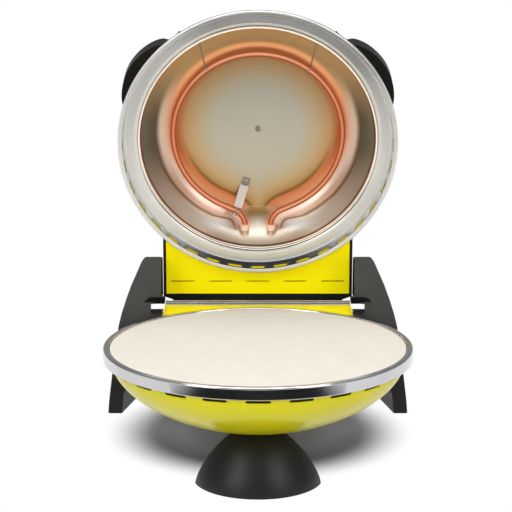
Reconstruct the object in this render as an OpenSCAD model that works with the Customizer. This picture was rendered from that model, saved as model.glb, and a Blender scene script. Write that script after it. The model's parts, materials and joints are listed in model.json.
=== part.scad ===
// Countertop pizza oven with a round stone in the base and a domed lid on a rear hinge.
// Shown with the lid open. Sizes are in millimetres, +Z is up and the front faces -Y.

/* [Base] */
// Outer radius of the chrome ring round the stone
ring_r = 162; // [156:1:172]
// Height of the ring's top above the table
ring_top = 130; // [126:1:136]
// Height of the ring's outer band
ring_band_h = 12.6; // [11:0.2:16]
// Width of the rolled top of the ring
ring_roll_w = 6.4; // [5.4:0.2:8]
// Sheet thickness of the pressed metal parts
sheet = 1; // [0.8:0.1:1.2]
// Depth to which the bowl's curve would run
bowl_depth = 75; // [70:1:82]
// Height of the bowl's flat bottom above the table
bowl_bottom = 48; // [46:1:52]
// Thickness of the baking stone
stone_t = 10; // [8:0.5:12]
// Number of vent slots on the bowl
bowl_slots = 15; // [9:2:19]
// Length of one vent slot on the bowl
bowl_slot_l = 25; // [15:1:30]
// Height of one vent slot on the bowl
bowl_slot_h = 2.8; // [2:0.2:4]
// Diameter of the heating element tube
element_d = 6.5; // [5:0.1:7.5]
// Radius of the lower element's ring
lower_element_r = 105; // [95:1:108]

/* [Front foot] */
// Radius of the front foot at the table
foot_r = 67.8; // [60:0.5:74]
// Height to which the foot's curve would run
foot_h = 75; // [70:1:82]
// Distance of the foot's centre in front of the ring's centre
foot_centre = 47; // [40:1:52]
// Distance of the foot's flat back in front of the ring's centre
foot_back = 68; // [62:1:74]
// Wall thickness of the moulded parts
moulding = 3; // [2.4:0.1:3.4]

/* [Rear deck and legs] */
// Half the width of the rear deck
deck_half_w = 106.6; // [100:0.1:110]
// Distance of the deck's rear edge behind the ring's centre
deck_back = 187; // [182:1:190]
// Height of the deck's underside above the table
deck_bottom = 84; // [80:1:88]
// Distance of the legs' front edge behind the ring's centre, at the table
leg_front = 172; // [166:1:176]
// Distance by which the front edge leans back over its height
leg_lean = 28; // [20:1:30]
// Height of the legs
leg_h = 179.4; // [174:0.2:186]
// Distance of the legs' rear end behind the ring's centre, at the table
leg_back = 264; // [256:1:272]
// Thickness of the rubber pads below the feet
pad_t = 0.8; // [0.5:0.1:1.5]

/* [Hinge] */
// Distance of the hinge axis behind the ring's centre
hinge_y = 204; // [202:0.5:206]
// Height of the hinge axis above the table
hinge_z = 108; // [106:0.5:109]
// Angle by which the lid opens
lid_open = 76.8; // [74:0.2:78]
// Diameter of the hinge tube
axle_d = 10; // [8:0.5:11]
// Radius of the hinge knuckles
knuckle_r = 11; // [10:0.5:12]
// Radial running clearance of the hinge
hinge_gap = 0.05; // [0.02:0.01:0.08]

/* [Lid] */
// Height of the dome above the lip
dome_h = 78; // [76:0.5:84]
// Depth of the slotted band inside the lip
band_depth = 15; // [13:0.5:17]
// Number of slots in the band
band_slots = 36; // [24:1:40]
// Length of one slot in the band
band_slot_l = 17; // [12:0.5:18]
// Height of one slot in the band
band_slot_h = 4.4; // [3:0.2:5]
// Width of the flat flange round the reflector's mouth
flange_w = 19.3; // [17.3:0.1:21.3]
// Width of the reflector's wall between its mouth and its flat floor
dish_run = 36; // [34:0.5:38]
// Depth of the reflector's floor inside the lid
dish_depth = 56; // [54:0.5:57]
// Depth of the upper element inside the lid
upper_element_z = 37; // [35:0.5:40]

/* [Rear box on the lid] */
// Distance of the box's front face behind the ring's centre, lid open
box_front = 235; // [233:0.5:238]
// Front to back thickness of the box, lid open
box_t = 27; // [24:0.5:30]
// Height of the box's underside above the table, lid open
box_bottom = 96.5; // [95:0.5:97]
// Height of the box's end under the dome, lid open
box_top = 225; // [215:1:232]
// Height of the yellow panel's lower edge, lid open
panel_bottom = 128.3; // [127.6:0.1:131]
// Number of slots in the yellow panel
panel_slots = 5; // [3:1:6]
// Length of one slot in the yellow panel
panel_slot_l = 27; // [20:1:30]

/* [Handles and knob] */
// Distance by which the grips stand out from the dome
grip_reach = 12.3; // [9:0.1:18]
// Angle of the grips from the front of the lid
grip_angle = 59.5; // [57:0.5:61]
// Half the angle that one grip covers
grip_half_angle = 18; // [17:0.5:19]
// Radius of the hub under the knob
hub_r = 46; // [44:1:52]
// Height of the hub above the dome
hub_h = 10; // [8:0.5:14]
// Radius of the knob
knob_r = 21; // [18:0.5:22]
// Height of the knob
knob_h = 17; // [14:0.5:22]

/* [Hidden] */

yellow = "gold";
black = "#2b2a29";
steel = "silver";
chrome = "lightgray";
rubber = "#1c1c1c";

$fn = 96;
seat_gap = 0.3;
screw_r = 2;
screw_head_r = 3.8;
screw_head_h = 2.4;

// Sizes that follow from others
big = 3 * ring_r;
lip_r = ring_r - 3.6;
dome_r = lip_r - 3.1;
dish_r = dome_r - flange_w;
dish_floor_r = dish_r - dish_run;
upper_element_r = dish_floor_r - 3;
grip_r = dome_r + grip_reach;
leg_gap_half = deck_half_w + 5.4;
box_half_w = leg_gap_half - 0.8;

// Levels in the base, from the ring's top down
stone_edge_r = ring_r - ring_roll_w;
stone_top = ring_top - 0.8;
stone_bottom = stone_top - stone_t;
ledge_top = stone_bottom - seat_gap;
ledge_r = stone_edge_r - 6.6;
bowl_top = ledge_top - sheet - seat_gap;
bowl_r = stone_edge_r - 1.6;
bowl_power = 1.8;
bowl_base_angle = asin(pow((bowl_top - bowl_bottom) / bowl_depth, bowl_power / 2));
bowl_slot_z = bowl_top - 4.5;
bowl_slot_pitch = 16;
bowl_steps = 24;

pan_r = bowl_r - 2.5;
pan_floor_r = pan_r - 25;
pan_floor = bowl_top - 26;
lower_element_z = pan_floor + 13;
post_r = 4;
post_ring_r = 34;
end_x_lower = 18;
lower_end_y = lower_element_r + 39;

// Front foot
foot_power = 1.45;
foot_screw_x = 17;
foot_tab_t = 4;
foot_tab_depth = 42;
foot_screw_y = -foot_back + foot_tab_depth - 10;

// Rear deck
deck_top = ring_top - 2;
trim_w = 8;
trim_h = 3.4;
trim_half_w = deck_half_w - 0.3;
deck_screw_x = deck_half_w - 18;
gland_x = 40;

// Legs
cheek_t = 14;
cheek_top = hinge_z + 7;
cheek_front = deck_back - 37;
cheek_back = box_front + 15;
cheek_bottom = 62;
cheek_rear_top = 90;
axle_len_half = leg_gap_half + cheek_t + 0.1;
leg_toe = 12;
ledge_z0 = hinge_z + 18;
ledge_z1 = ledge_z0 + 9;
ledge_outer = leg_gap_half + 20;
ledge_front = deck_back + 1;
ledge_inner = leg_gap_half - 4.2;
ledge_slant = 5;
window_x = leg_gap_half + 10.5;
window_back = box_front + 35;
leg_screw_y = [deck_back - 27, deck_back - 9];
leg_screw_z = 100;
bar_y0 = box_front - 2;
bar_y1 = box_front + 14;
bar_top = box_bottom - 6.5;
bar_bottom = bar_top - 18;
stop_x = 70;
stop_r = 7;

// Outline of a leg seen from the front, as [half width, height] at the real height of the leg
leg_outer = [
    [173.2, 0], [172.6, 15], [169.8, 48], [164.4, 100], [161.2, 115], [156.6, 131], [151.3, 147],
    [147.2, 157], [143.6, 166], [141.4, 171.5], [139.7, 175], [137.8, 177.7], [135.2, 179.4]
];
leg_inner = [[111, 179.4], [111, 136], [124.8, 127], [125.6, 115], [138, 70], [156.6, 21], [157.4, 0]];
leg_drawn_h = 179.4;
leg_drawn_gap = 112;
leg_toe_x = 157;
leg_top_fall = 9;

// Lid, drawn with its lip at z = 0 and its depth upwards, as when it is closed
lid_z = ring_top + seat_gap;
lip_edge = 4;
lip_in = dome_r - 2;
dome_base = lip_edge - 0.8;
dome_power = 2.1;
dome_steps = 24;
dome_rise = dome_h - dome_base;
band_top_r = lip_in - 1.9;
band_wall = 0.8;
band_slot_z = 5.2;
flange_top = band_depth + band_wall;
dish_power = 1.45;
dish_wall = 0.8;
dish_steps = 18;
end_x_upper = 15;
upper_gap_angle = 25;
upper_bend = 22;
lower_gap_angle = 20;
lower_bend = 16;
weld_step = 0.02;
ferrule_r = 5.3;
ferrule_l = 7;
upper_ferrule_y = dish_floor_r + 12.2;
upper_end_y = dish_r - 2;
hanger_angle = 36;
hanger_top_angle = 29.5;
hanger_wire_r = 0.8;
clip_foot = [-14, 66];
bolt_r = 1.7;
bolt_head_r = 2.9;

// Rear box, drawn where it is with the lid open
box_back = box_front + box_t;
box_wall = 3.2;
waist_half_w = box_half_w - 11.2;
waist_z = panel_bottom - 7.3;
shoulder_z = waist_z + 4;
arm_x0 = waist_half_w - 40;
arm_x1 = waist_half_w - 2;
bush_r = axle_d / 2 + 2;
panel_half_w = box_half_w - 3.5;
panel_slot_z = panel_bottom + 15.1;
panel_slot_h = 1.3;
panel_slot_pitch = 44;
cover_screw_x = box_half_w - 15.2;

// Knob
grip_power = 1.7;
grip_front = 113.8;
fin_angle = 34.5;
hub_top = dome_h + hub_h;
knob_base = hub_top + 0.9;
knob_top = knob_base + knob_h;
knob_bar_half = knob_r - 3;
spindle_r = 3;
thermostat_z0 = dish_depth + 4.2;
thermostat_z1 = thermostat_z0 + 11;

// The origin is under the middle of the whole object, on the table
knob_back_y = hinge_y - hinge_y * cos(lid_open) + (lid_z - hinge_z + knob_top) * sin(lid_open)
    + knob_bar_half * cos(lid_open);
origin_y = (knob_back_y - ring_r) / 2;

// Point of a superellipse of radius r and height h
function curve(r, h, power, angle) = [r * pow(cos(angle), 2 / power), h * pow(sin(angle), 2 / power)];

function arc(centre, r, from, to, steps) =
    [for (i = [0 : steps]) let (a = from + (to - from) * i / steps) centre + r * [cos(a), sin(a)]];

function reversed(list) = [for (i = [len(list) - 1 : -1 : 0]) list[i]];

module at_base() {
    translate([0, -origin_y, 0]) children();
}

module on_lid() {
    translate([0, hinge_y - origin_y, hinge_z])
        rotate([-lid_open, 0, 0])
            translate([0, -hinge_y, lid_z - hinge_z]) children();
}

// Takes a shape drawn in the lid's own place to where the open lid has it, before at_base
module lid_in_base() {
    translate([0, hinge_y, hinge_z])
        rotate([-lid_open, 0, 0])
            translate([0, -hinge_y, lid_z - hinge_z]) children();
}

module both_sides() {
    children();
    mirror([1, 0, 0]) children();
}

module rod(from, to, r) {
    span = to - from;
    translate(from)
        rotate([0, acos(span[2] / norm(span)), atan2(span[1], span[0])])
            cylinder(h = norm(span), r = r, $fn = 32);
}

// Slot with round ends, long in x and cut through along y
module slot(length, height, depth) {
    rotate([90, 0, 0]) translate([0, 0, -depth / 2]) {
        translate([-(length - height) / 2, -height / 2, 0]) cube([length - height, height, depth]);
        for (side = [-1, 1])
            translate([side * (length - height) / 2, 0, 0])
                cylinder(h = depth, d = height, $fn = 24);
    }
}

// Pan-head screw with its head's underside at the origin and its shank downwards
module screw(length) {
    translate([0, 0, -length]) cylinder(h = length, r = screw_r, $fn = 24);
    cylinder(h = screw_head_h * 0.6, r = screw_head_r, $fn = 32);
    translate([0, 0, screw_head_h * 0.6])
        cylinder(h = screw_head_h * 0.4, r1 = screw_head_r, r2 = screw_head_r * 0.7, $fn = 32);
}

// Centre of the bend that turns the left end of a heater's tube to the rear
function bend_centre(ring, gap_angle, bend, end_x) =
    let (run = (ring * sin(gap_angle) - end_x - bend * (1 - sin(gap_angle))) / cos(gap_angle))
    ring * [-sin(gap_angle), cos(gap_angle)] + run * [cos(gap_angle), sin(gap_angle)]
        + bend * [-sin(gap_angle), cos(gap_angle)];

// Ring of tube whose two ends turn outwards beside each other at the rear
module heater(ring, gap_angle, bend, end_x, end_y) {
    r = element_d / 2;
    weld = 0.5;
    heading = [cos(gap_angle), sin(gap_angle)];
    start = ring * [-sin(gap_angle), cos(gap_angle)];
    centre = bend_centre(ring, gap_angle, bend, end_x);
    turn = centre + bend * [sin(gap_angle), -cos(gap_angle)];
    rotate([0, 0, 90 + gap_angle])
        rotate_extrude(angle = 360 - 2 * gap_angle)
            translate([ring, 0]) circle(r = r, $fn = 24);
    both_sides() {
        rod(concat(start - weld * heading, 0), concat(turn + weld * heading, 0), r + weld_step);
        translate([centre[0], centre[1], 0])
            rotate([0, 0, gap_angle - 90])
                rotate_extrude(angle = 90 - gap_angle)
                    translate([bend, 0]) circle(r = r, $fn = 24);
        rod([-end_x, centre[1] - weld, 0], [-end_x, end_y, 0], r + weld_step);
    }
}

module bowl_solid(grow) {
    points = [for (i = [0 : bowl_steps])
        curve(bowl_r + grow, bowl_depth + grow, bowl_power, bowl_base_angle * i / bowl_steps)];
    translate([0, 0, bowl_top]) mirror([0, 0, 1])
        rotate_extrude() polygon(concat(points, [[0, points[bowl_steps][1]], [0, 0]]));
}

module bowl_shell() at_base() color(yellow) difference() {
    bowl_solid(0);
    difference() {
        bowl_solid(-sheet);
        translate([0, 0, bowl_bottom - 1]) cylinder(h = 1 + sheet, r = bowl_r);
    }
    translate([0, 0, bowl_top - 0.01]) cylinder(h = 1, r = bowl_r - sheet);
    for (i = [0 : bowl_slots - 1])
        rotate([0, 0, (i - (bowl_slots - 1) / 2) * bowl_slot_pitch])
            translate([0, -bowl_r, bowl_slot_z]) slot(bowl_slot_l, bowl_slot_h, 16);
    for (x = [-foot_screw_x, foot_screw_x])
        translate([x, foot_screw_y, bowl_bottom - 1]) cylinder(h = 4, r = screw_r + 0.2);
    for (i = [0 : 2])
        rotate([0, 0, 90 + i * 120])
            translate([post_ring_r, 0, bowl_bottom - 1]) cylinder(h = 4, r = screw_r + 0.2);
    translate([0, bowl_r - 2, lower_element_z - 1]) slot(70, 12, 40);
}

module base_rim_ring() at_base() color(chrome) {
    outer = 3.4;
    inner = 1.4;
    rotate_extrude() polygon(concat(
        [[ring_r, ring_top - ring_band_h]],
        arc([ring_r - outer, ring_top - outer], outer, 0, 90, 8),
        arc([stone_edge_r + inner, ring_top - inner], inner, 90, 180, 4),
        [[stone_edge_r, ledge_top], [ledge_r, ledge_top], [ledge_r, ledge_top - sheet],
            [stone_edge_r + sheet, ledge_top - sheet]],
        arc([stone_edge_r + inner, ring_top - inner], inner - sheet, 180, 90, 4),
        arc([ring_r - outer, ring_top - outer], outer - sheet, 90, 0, 8),
        [[ring_r - sheet, ring_top - ring_band_h]]
    ));
}

module baking_stone() at_base() color("ivory") {
    edge = stone_edge_r - 0.6;
    bevel = 1;
    rotate_extrude() polygon([
        [0, stone_bottom], [edge - bevel, stone_bottom], [edge, stone_bottom + bevel],
        [edge, stone_top - bevel], [edge - bevel, stone_top], [0, stone_top]
    ]);
}

module lower_reflector_pan() at_base() color(steel) difference() {
    top = bowl_top;
    wall = 0.8;
    shoulder = pan_r - 8;
    rotate_extrude() polygon([
        [0, pan_floor - wall], [pan_floor_r, pan_floor - wall], [shoulder + wall, top - wall],
        [pan_r, top - wall], [pan_r, top], [shoulder, top], [pan_floor_r, pan_floor], [0, pan_floor]
    ]);
    for (x = [-end_x_lower, end_x_lower])
        translate([x, pan_floor_r - 10, lower_element_z])
            rotate([-90, 0, 0]) cylinder(h = 40, r = element_d / 2 + 0.4, $fn = 32);
    for (i = [0 : 2])
        rotate([0, 0, 90 + i * 120])
            translate([post_ring_r, 0, pan_floor - 3]) cylinder(h = 6, r = screw_r + 0.2);
}

module lower_heating_element() at_base() color("#4b4744")
    translate([0, 0, lower_element_z])
        heater(lower_element_r, lower_gap_angle, lower_bend, end_x_lower, lower_end_y);

module lower_element_clips() at_base() color(steel) {
    wire = 0.8;
    loop = element_d / 2 + wire + 0.1;
    for (angle = [-90, 20, 160])
        rotate([0, 0, angle]) translate([lower_element_r, 0, 0]) {
            translate([0, 0, pan_floor]) cylinder(h = lower_element_z - pan_floor - loop, r = 1.6);
            translate([0, 0, pan_floor]) cylinder(h = 1, r = 6);
            translate([0, 0, lower_element_z])
                rotate([90, 0, 0]) rotate_extrude() translate([loop, 0]) circle(r = wire, $fn = 20);
        }
}

module lower_element_ferrules() at_base() color("tan") {
    wall_r = pan_floor_r + 17 * (lower_element_z - pan_floor) / (bowl_top - pan_floor);
    for (x = [-end_x_lower, end_x_lower])
        translate([x, wall_r - 11.5, lower_element_z])
            rotate([-90, 0, 0]) difference() {
                cylinder(h = 5, r = ferrule_r);
                translate([0, 0, -1]) cylinder(h = 10, r = element_d / 2 + hinge_gap);
            }
}

module pan_posts() at_base() color(steel)
    for (i = [0 : 2])
        rotate([0, 0, 90 + i * 120]) translate([post_ring_r, 0, 0]) difference() {
            translate([0, 0, bowl_bottom + sheet])
                cylinder(h = pan_floor - 0.8 - bowl_bottom - sheet, r = post_r);
            translate([0, 0, bowl_bottom]) cylinder(h = pan_floor, r = screw_r + 0.1);
        }

module pan_screws() at_base() color(steel)
    for (i = [0 : 2])
        rotate([0, 0, 90 + i * 120]) translate([post_ring_r, 0, 0]) {
            translate([0, 0, pan_floor]) screw(14);
            translate([0, 0, bowl_bottom]) mirror([0, 0, 1]) screw(14);
        }

// Box behind the bowl, cut to the bowl and the ring
module deck_block(inset) {
    difference() {
        translate([-deck_half_w + inset, 60, deck_bottom])
            cube([2 * (deck_half_w - inset), deck_back - inset - 60, deck_top - inset - deck_bottom]);
        bowl_solid(seat_gap);
        translate([0, 0, ring_top - ring_band_h - seat_gap])
            cylinder(h = ring_band_h + 10, r = ring_r + seat_gap);
    }
}

module rear_deck() at_base() color(yellow) difference() {
    deck_block(0);
    translate([-deck_half_w + sheet, 50, deck_bottom - 1])
        cube([2 * (deck_half_w - sheet), deck_back - sheet - 50, deck_top - sheet - deck_bottom + 1]);
    both_sides() for (y = leg_screw_y)
        translate([deck_half_w - 5, y, leg_screw_z])
            rotate([0, 90, 0]) cylinder(h = 10, r = screw_r + 0.2, $fn = 24);
    translate([gland_x, deck_back - 5, deck_bottom + 14])
        rotate([-90, 0, 0]) cylinder(h = 10, r = 6.2);
}

module deck_trim() at_base() color(chrome) difference() {
    union() {
        translate([-trim_half_w, deck_back - trim_w, deck_top])
            cube([2 * trim_half_w, trim_w + 0.8, 0.8]);
        translate([-trim_half_w, deck_back, deck_top]) cube([2 * trim_half_w, 0.8, trim_h]);
    }
    translate([0, 0, deck_top - 1]) cylinder(h = 5, r = ring_r + 1);
}

module deck_bottom_plate() at_base() color(steel) difference() {
    inset = sheet + seat_gap;
    translate([-deck_half_w + inset, 60, deck_bottom])
        cube([2 * (deck_half_w - inset), deck_back - inset - 60, sheet]);
    bowl_solid(seat_gap);
    both_sides() translate([deck_screw_x, deck_back - 20, deck_bottom - 1])
        cylinder(h = 4, r = screw_r + 0.2, $fn = 24);
}

module deck_screws() at_base() color(steel)
    both_sides() translate([deck_screw_x, deck_back - 20, deck_bottom])
        mirror([0, 0, 1]) screw(12);

module terminal_block() at_base() color("ivory") {
    w = 44;
    d = 18;
    translate([-w / 2, deck_back - sheet - 3 - d, deck_bottom + sheet]) difference() {
        cube([w, d, 16]);
        for (i = [0 : 2])
            translate([8 + i * 14, d / 2, 6]) {
                cylinder(h = 20, r = 2.6, $fn = 24);
                translate([0, -d, 4]) rotate([-90, 0, 0]) cylinder(h = 3 * d, r = 2, $fn = 24);
            }
    }
}

module thermal_cutout() at_base() color(steel)
    translate([-40, 20, pan_floor - 0.8]) mirror([0, 0, 1]) {
        cylinder(h = 1, r = 11);
        cylinder(h = 9, r = 8);
        for (x = [-4, 4]) translate([x - 0.4, -3, 9]) cube([0.8, 6, 8]);
    }

module cable_gland() at_base() color(black) difference() {
    translate([gland_x, deck_back - sheet - 3, deck_bottom + 14]) rotate([-90, 0, 0]) {
        cylinder(h = 3, r = 8);
        cylinder(h = 12, r = 6);
        translate([0, 0, 3 + sheet]) cylinder(h = 4, r = 9);
        translate([0, 0, 7 + sheet]) cylinder(h = 8, r1 = 8, r2 = 6);
    }
    translate([gland_x, deck_back - 30, deck_bottom + 14]) rotate([-90, 0, 0]) cylinder(h = 60, r = 3.6);
}

module foot_solid(inset) {
    steps = 16;
    points = [for (i = [0 : steps]) curve(foot_r - inset, foot_h - inset, foot_power, 90 * i / steps)];
    translate([0, -foot_centre, pad_t]) rotate_extrude() polygon(concat(points, [[0, 0]]));
}

module foot_half(inset) {
    intersection() {
        foot_solid(inset);
        translate([-big / 2, -foot_back - big, -1]) cube([big, big - inset, big]);
    }
}

module front_foot() at_base() color(black) difference() {
    union() {
        difference() {
            foot_half(0);
            translate([0, 0, -0.01]) foot_half(moulding);
        }
        for (x = [-foot_screw_x, foot_screw_x])
            translate([x, -foot_back, 0]) intersection() {
                translate([-1.5, -36, pad_t + 5]) cube([3, 36, 60]);
                translate([-x, foot_back, 0]) foot_half(1);
            }
        translate([-foot_screw_x - 10, -foot_back - 2, bowl_bottom - seat_gap - foot_tab_t])
            cube([2 * foot_screw_x + 20, foot_tab_depth, foot_tab_t]);
    }
    bowl_solid(seat_gap);
    for (x = [-foot_screw_x, foot_screw_x])
        translate([x, foot_screw_y, bowl_bottom - 20]) cylinder(h = 40, r = screw_r + 0.2, $fn = 24);
}

module foot_screws() at_base() color(steel)
    for (x = [-foot_screw_x, foot_screw_x])
        translate([x, foot_screw_y, bowl_bottom - seat_gap - foot_tab_t]) mirror([0, 0, 1]) screw(10);

module foot_pads() at_base() color(rubber) {
    intersection() {
        translate([0, 0, -pad_t]) difference() {
            foot_solid(0.6);
            translate([0, 0, -0.01]) foot_solid(moulding - 0.2);
        }
        translate([-big / 2, -foot_back - big, 0]) cube([big, big - 0.6, pad_t - 0.05]);
    }
    both_sides() intersection() {
        translate([0, 0, -pad_t]) leg_body(1);
        cube([big, big, pad_t - 0.05]);
    }
}

// Leg between its front outline and its side outline; inset makes it thinner all round
module leg_body(inset) {
    scale_x = leg_gap_half / leg_drawn_gap;
    scale_z = leg_h / leg_drawn_h;
    top_z = leg_drawn_h - 15;
    outer = [for (p = leg_outer) [p[0] * scale_x - inset, p[1] * scale_z - (p[1] > top_z ? inset : 0)]];
    inner = [for (p = leg_inner) [p[0] * scale_x + inset, p[1] * scale_z - (p[1] > top_z ? inset : 0)]];
    toe_x = leg_toe_x * scale_x;
    translate([0, 0, pad_t]) intersection() {
        translate([toe_x, leg_front, 0]) rotate([0, 0, leg_toe]) translate([-toe_x, 130, 0])
            rotate([90, 0, 0]) linear_extrude(160) polygon(concat(outer, inner));
        rotate([90, 0, 90]) linear_extrude(big) polygon([
            [leg_front + inset, 0],
            [leg_front + leg_lean + inset, leg_h - inset],
            [box_front + 3 - inset, leg_h - leg_top_fall - inset],
            [box_front + 7 - inset, hinge_z + 20],
            [leg_back - 14 - inset, bar_bottom],
            [leg_back - inset, 0]
        ]);
    }
}

// Space below the shelf that is open from the front to the back
module leg_window() {
    translate([window_x, leg_front, 0]) rotate([0, 0, -3.4]) translate([-40, 0, 0])
        rotate([90, 0, 90]) linear_extrude(40) polygon([
            [-10, cheek_top + 0.5], [hinge_y + 5 - leg_front, cheek_top + 0.5],
            [window_back - leg_front, cheek_top - 14], [window_back - leg_front, ledge_z0],
            [-10, ledge_z0]
        ]);
}

module leg() {
    difference() {
        union() {
            difference() {
                leg_body(0);
                translate([0, moulding, -0.01]) leg_body(moulding);
                translate([0, 0, -1]) cube([leg_gap_half, big, big]);
                leg_window();
            }
            // Inner cheek that bolts to the deck and holds the hinge tube
            translate([deck_half_w + seat_gap, 0, 0]) rotate([90, 0, 90])
                linear_extrude(leg_gap_half + cheek_t - deck_half_w - seat_gap) polygon([
                    [cheek_front, cheek_bottom], [deck_back - 2, cheek_bottom],
                    [deck_back - 2, cheek_top - 6], [cheek_front + 8, cheek_top - 6],
                    [cheek_front, cheek_top - 14]
                ]);
            translate([leg_gap_half, 0, 0]) rotate([90, 0, 90]) linear_extrude(cheek_t) polygon([
                [cheek_front, cheek_bottom], [cheek_back, cheek_bottom], [cheek_back, cheek_rear_top],
                [hinge_y + 14, cheek_rear_top], [hinge_y + 7, cheek_top - 7], [hinge_y + 5, cheek_top],
                [hinge_y - 5, cheek_top], [cheek_front + 8, cheek_top - 6], [cheek_front, cheek_top - 14]
            ]);
            for (y = [hinge_y - 9, cheek_back - 24])
                intersection() {
                    translate([leg_gap_half, y, cheek_bottom]) cube([60, moulding, 24]);
                    leg_body(1);
                }
            // Shelf beside the hinge, its top falling away to the back
            intersection() {
                translate([ledge_inner, 0, 0])
                    rotate([90, 0, 90]) linear_extrude(ledge_outer - ledge_inner) polygon([
                        [ledge_front + ledge_slant, ledge_z0], [hinge_y + 6, ledge_z0],
                        [hinge_y + 6, ledge_z1 - 4], [ledge_front, ledge_z1]
                    ]);
                translate([0, big, 0]) rotate([90, 0, 0]) linear_extrude(big) polygon([
                    [ledge_inner, ledge_z0], [ledge_outer, ledge_z0], [ledge_outer - 1, ledge_z0 + 3],
                    [ledge_outer - 3.6, ledge_z0 + 6.2], [ledge_outer - 8.5, ledge_z1],
                    [ledge_inner, ledge_z1]
                ]);
            }
        }
        translate([leg_gap_half - 20, hinge_y, hinge_z])
            rotate([0, 90, 0]) cylinder(h = 50, r = axle_d / 2 + hinge_gap);
        for (y = leg_screw_y)
            translate([deck_half_w - 20, y, leg_screw_z])
                rotate([0, 90, 0]) cylinder(h = 60, r = screw_r + 0.2, $fn = 24);
        translate([leg_gap_half - 20, (bar_y0 + bar_y1) / 2, bar_bottom + 9])
            rotate([0, 90, 0]) cylinder(h = 60, r = screw_r + 0.2, $fn = 24);
        // Room for the screw heads and the tube's cap inside the leg
        for (p = [[leg_screw_y[0], leg_screw_z], [leg_screw_y[1], leg_screw_z],
                [(bar_y0 + bar_y1) / 2, bar_bottom + 9], [hinge_y, hinge_z]])
            translate([leg_gap_half + cheek_t, p[0], p[1]])
                rotate([0, 90, 0]) cylinder(h = 6, r = axle_d / 2 + 2, $fn = 32);
    }
}

module right_leg() at_base() color(black) leg();

module left_leg() at_base() color(black) mirror([1, 0, 0]) leg();

module leg_screws() at_base() color(steel) both_sides() {
    for (y = leg_screw_y)
        translate([leg_gap_half + cheek_t, y, leg_screw_z]) rotate([0, 90, 0]) screw(cheek_t + 8);
    translate([leg_gap_half + cheek_t, (bar_y0 + bar_y1) / 2, bar_bottom + 9])
        rotate([0, 90, 0]) screw(cheek_t + 8);
}

module hinge_axle() at_base() color(steel)
    translate([-axle_len_half, hinge_y, hinge_z]) rotate([0, 90, 0]) difference() {
        cylinder(h = 2 * axle_len_half, d = axle_d);
        translate([0, 0, -1]) cylinder(h = 2 * axle_len_half + 2, d = axle_d - 3);
    }

module axle_caps() at_base() color(steel) both_sides()
    translate([axle_len_half + 0.1, hinge_y, hinge_z]) rotate([0, 90, 0]) {
        translate([0, 0, -6]) cylinder(h = 6, d = axle_d - 3 - 2 * hinge_gap);
        cylinder(h = 1.6, d = axle_d + 2);
        translate([0, 0, 1.6]) cylinder(h = 1.4, d1 = axle_d + 2, d2 = axle_d - 3);
    }

module stop_bar() at_base() color(steel) difference() {
    half = leg_gap_half - seat_gap;
    translate([-half, bar_y0, bar_bottom]) cube([2 * half, bar_y1 - bar_y0, bar_top - bar_bottom]);
    translate([-half + 2, bar_y0 - 1, bar_bottom - 1])
        cube([2 * half - 4, bar_y1 - bar_y0 - 1, bar_top - bar_bottom - 1]);
    both_sides() {
        translate([half - 10, (bar_y0 + bar_y1) / 2, bar_bottom + 9])
            rotate([0, 90, 0]) cylinder(h = 20, r = screw_r + 0.1, $fn = 24);
        translate([stop_x, (bar_y0 + bar_y1) / 2, bar_top - 5]) cylinder(h = 10, r = 2.6, $fn = 24);
    }
}

module lid_stops() at_base() color(rubber) both_sides()
    translate([stop_x, (bar_y0 + bar_y1) / 2, bar_top]) {
        translate([0, 0, -4]) cylinder(h = 4, r = 2.5, $fn = 24);
        cylinder(h = box_bottom - bar_top - seat_gap, r = stop_r, $fn = 32);
    }

module dome_solid(grow) {
    points = [for (i = [0 : dome_steps])
        curve(dome_r + grow, dome_rise + grow, dome_power, 90 * i / dome_steps)];
    translate([0, 0, dome_base]) rotate_extrude() polygon(concat(points, [[0, 0]]));
}

module lid_dome() on_lid() color(yellow) difference() {
    dome_solid(0);
    translate([0, 0, -0.01]) dome_solid(-sheet);
    translate([0, 0, dome_h - 6]) cylinder(h = 10, r = spindle_r + 1, $fn = 32);
    for (angle = [-grip_angle, grip_angle])
        rotate([0, 0, angle]) translate([0, -dome_r * 0.62, dome_h - 30])
            cylinder(h = 60, r = screw_r + 0.2, $fn = 24);
    translate([0, dome_r - 12, 27]) rotate([-90, 0, 0]) cylinder(h = 30, r = 7, $fn = 32);
}

module lid_rim_ring() on_lid() color(chrome) difference() {
    bead = 1.4;
    rotate_extrude() polygon(concat(
        [[lip_in, 0], [lip_r - bead, 0]],
        arc([lip_r - bead, bead], bead, -90, 0, 6),
        [[lip_r, lip_edge], [lip_r - sheet, lip_edge], [lip_r - sheet, sheet],
            [lip_in + band_wall, sheet], [band_top_r + band_wall, flange_top],
            [dish_r + 0.6, flange_top], [dish_r + 0.6, band_depth], [band_top_r, band_depth]]
    ));
    for (i = [0 : band_slots - 1])
        rotate([0, 0, i * 360 / band_slots])
            translate([0, -lip_in + 0.6, band_slot_z]) slot(band_slot_l, band_slot_h, 5);
}

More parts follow.
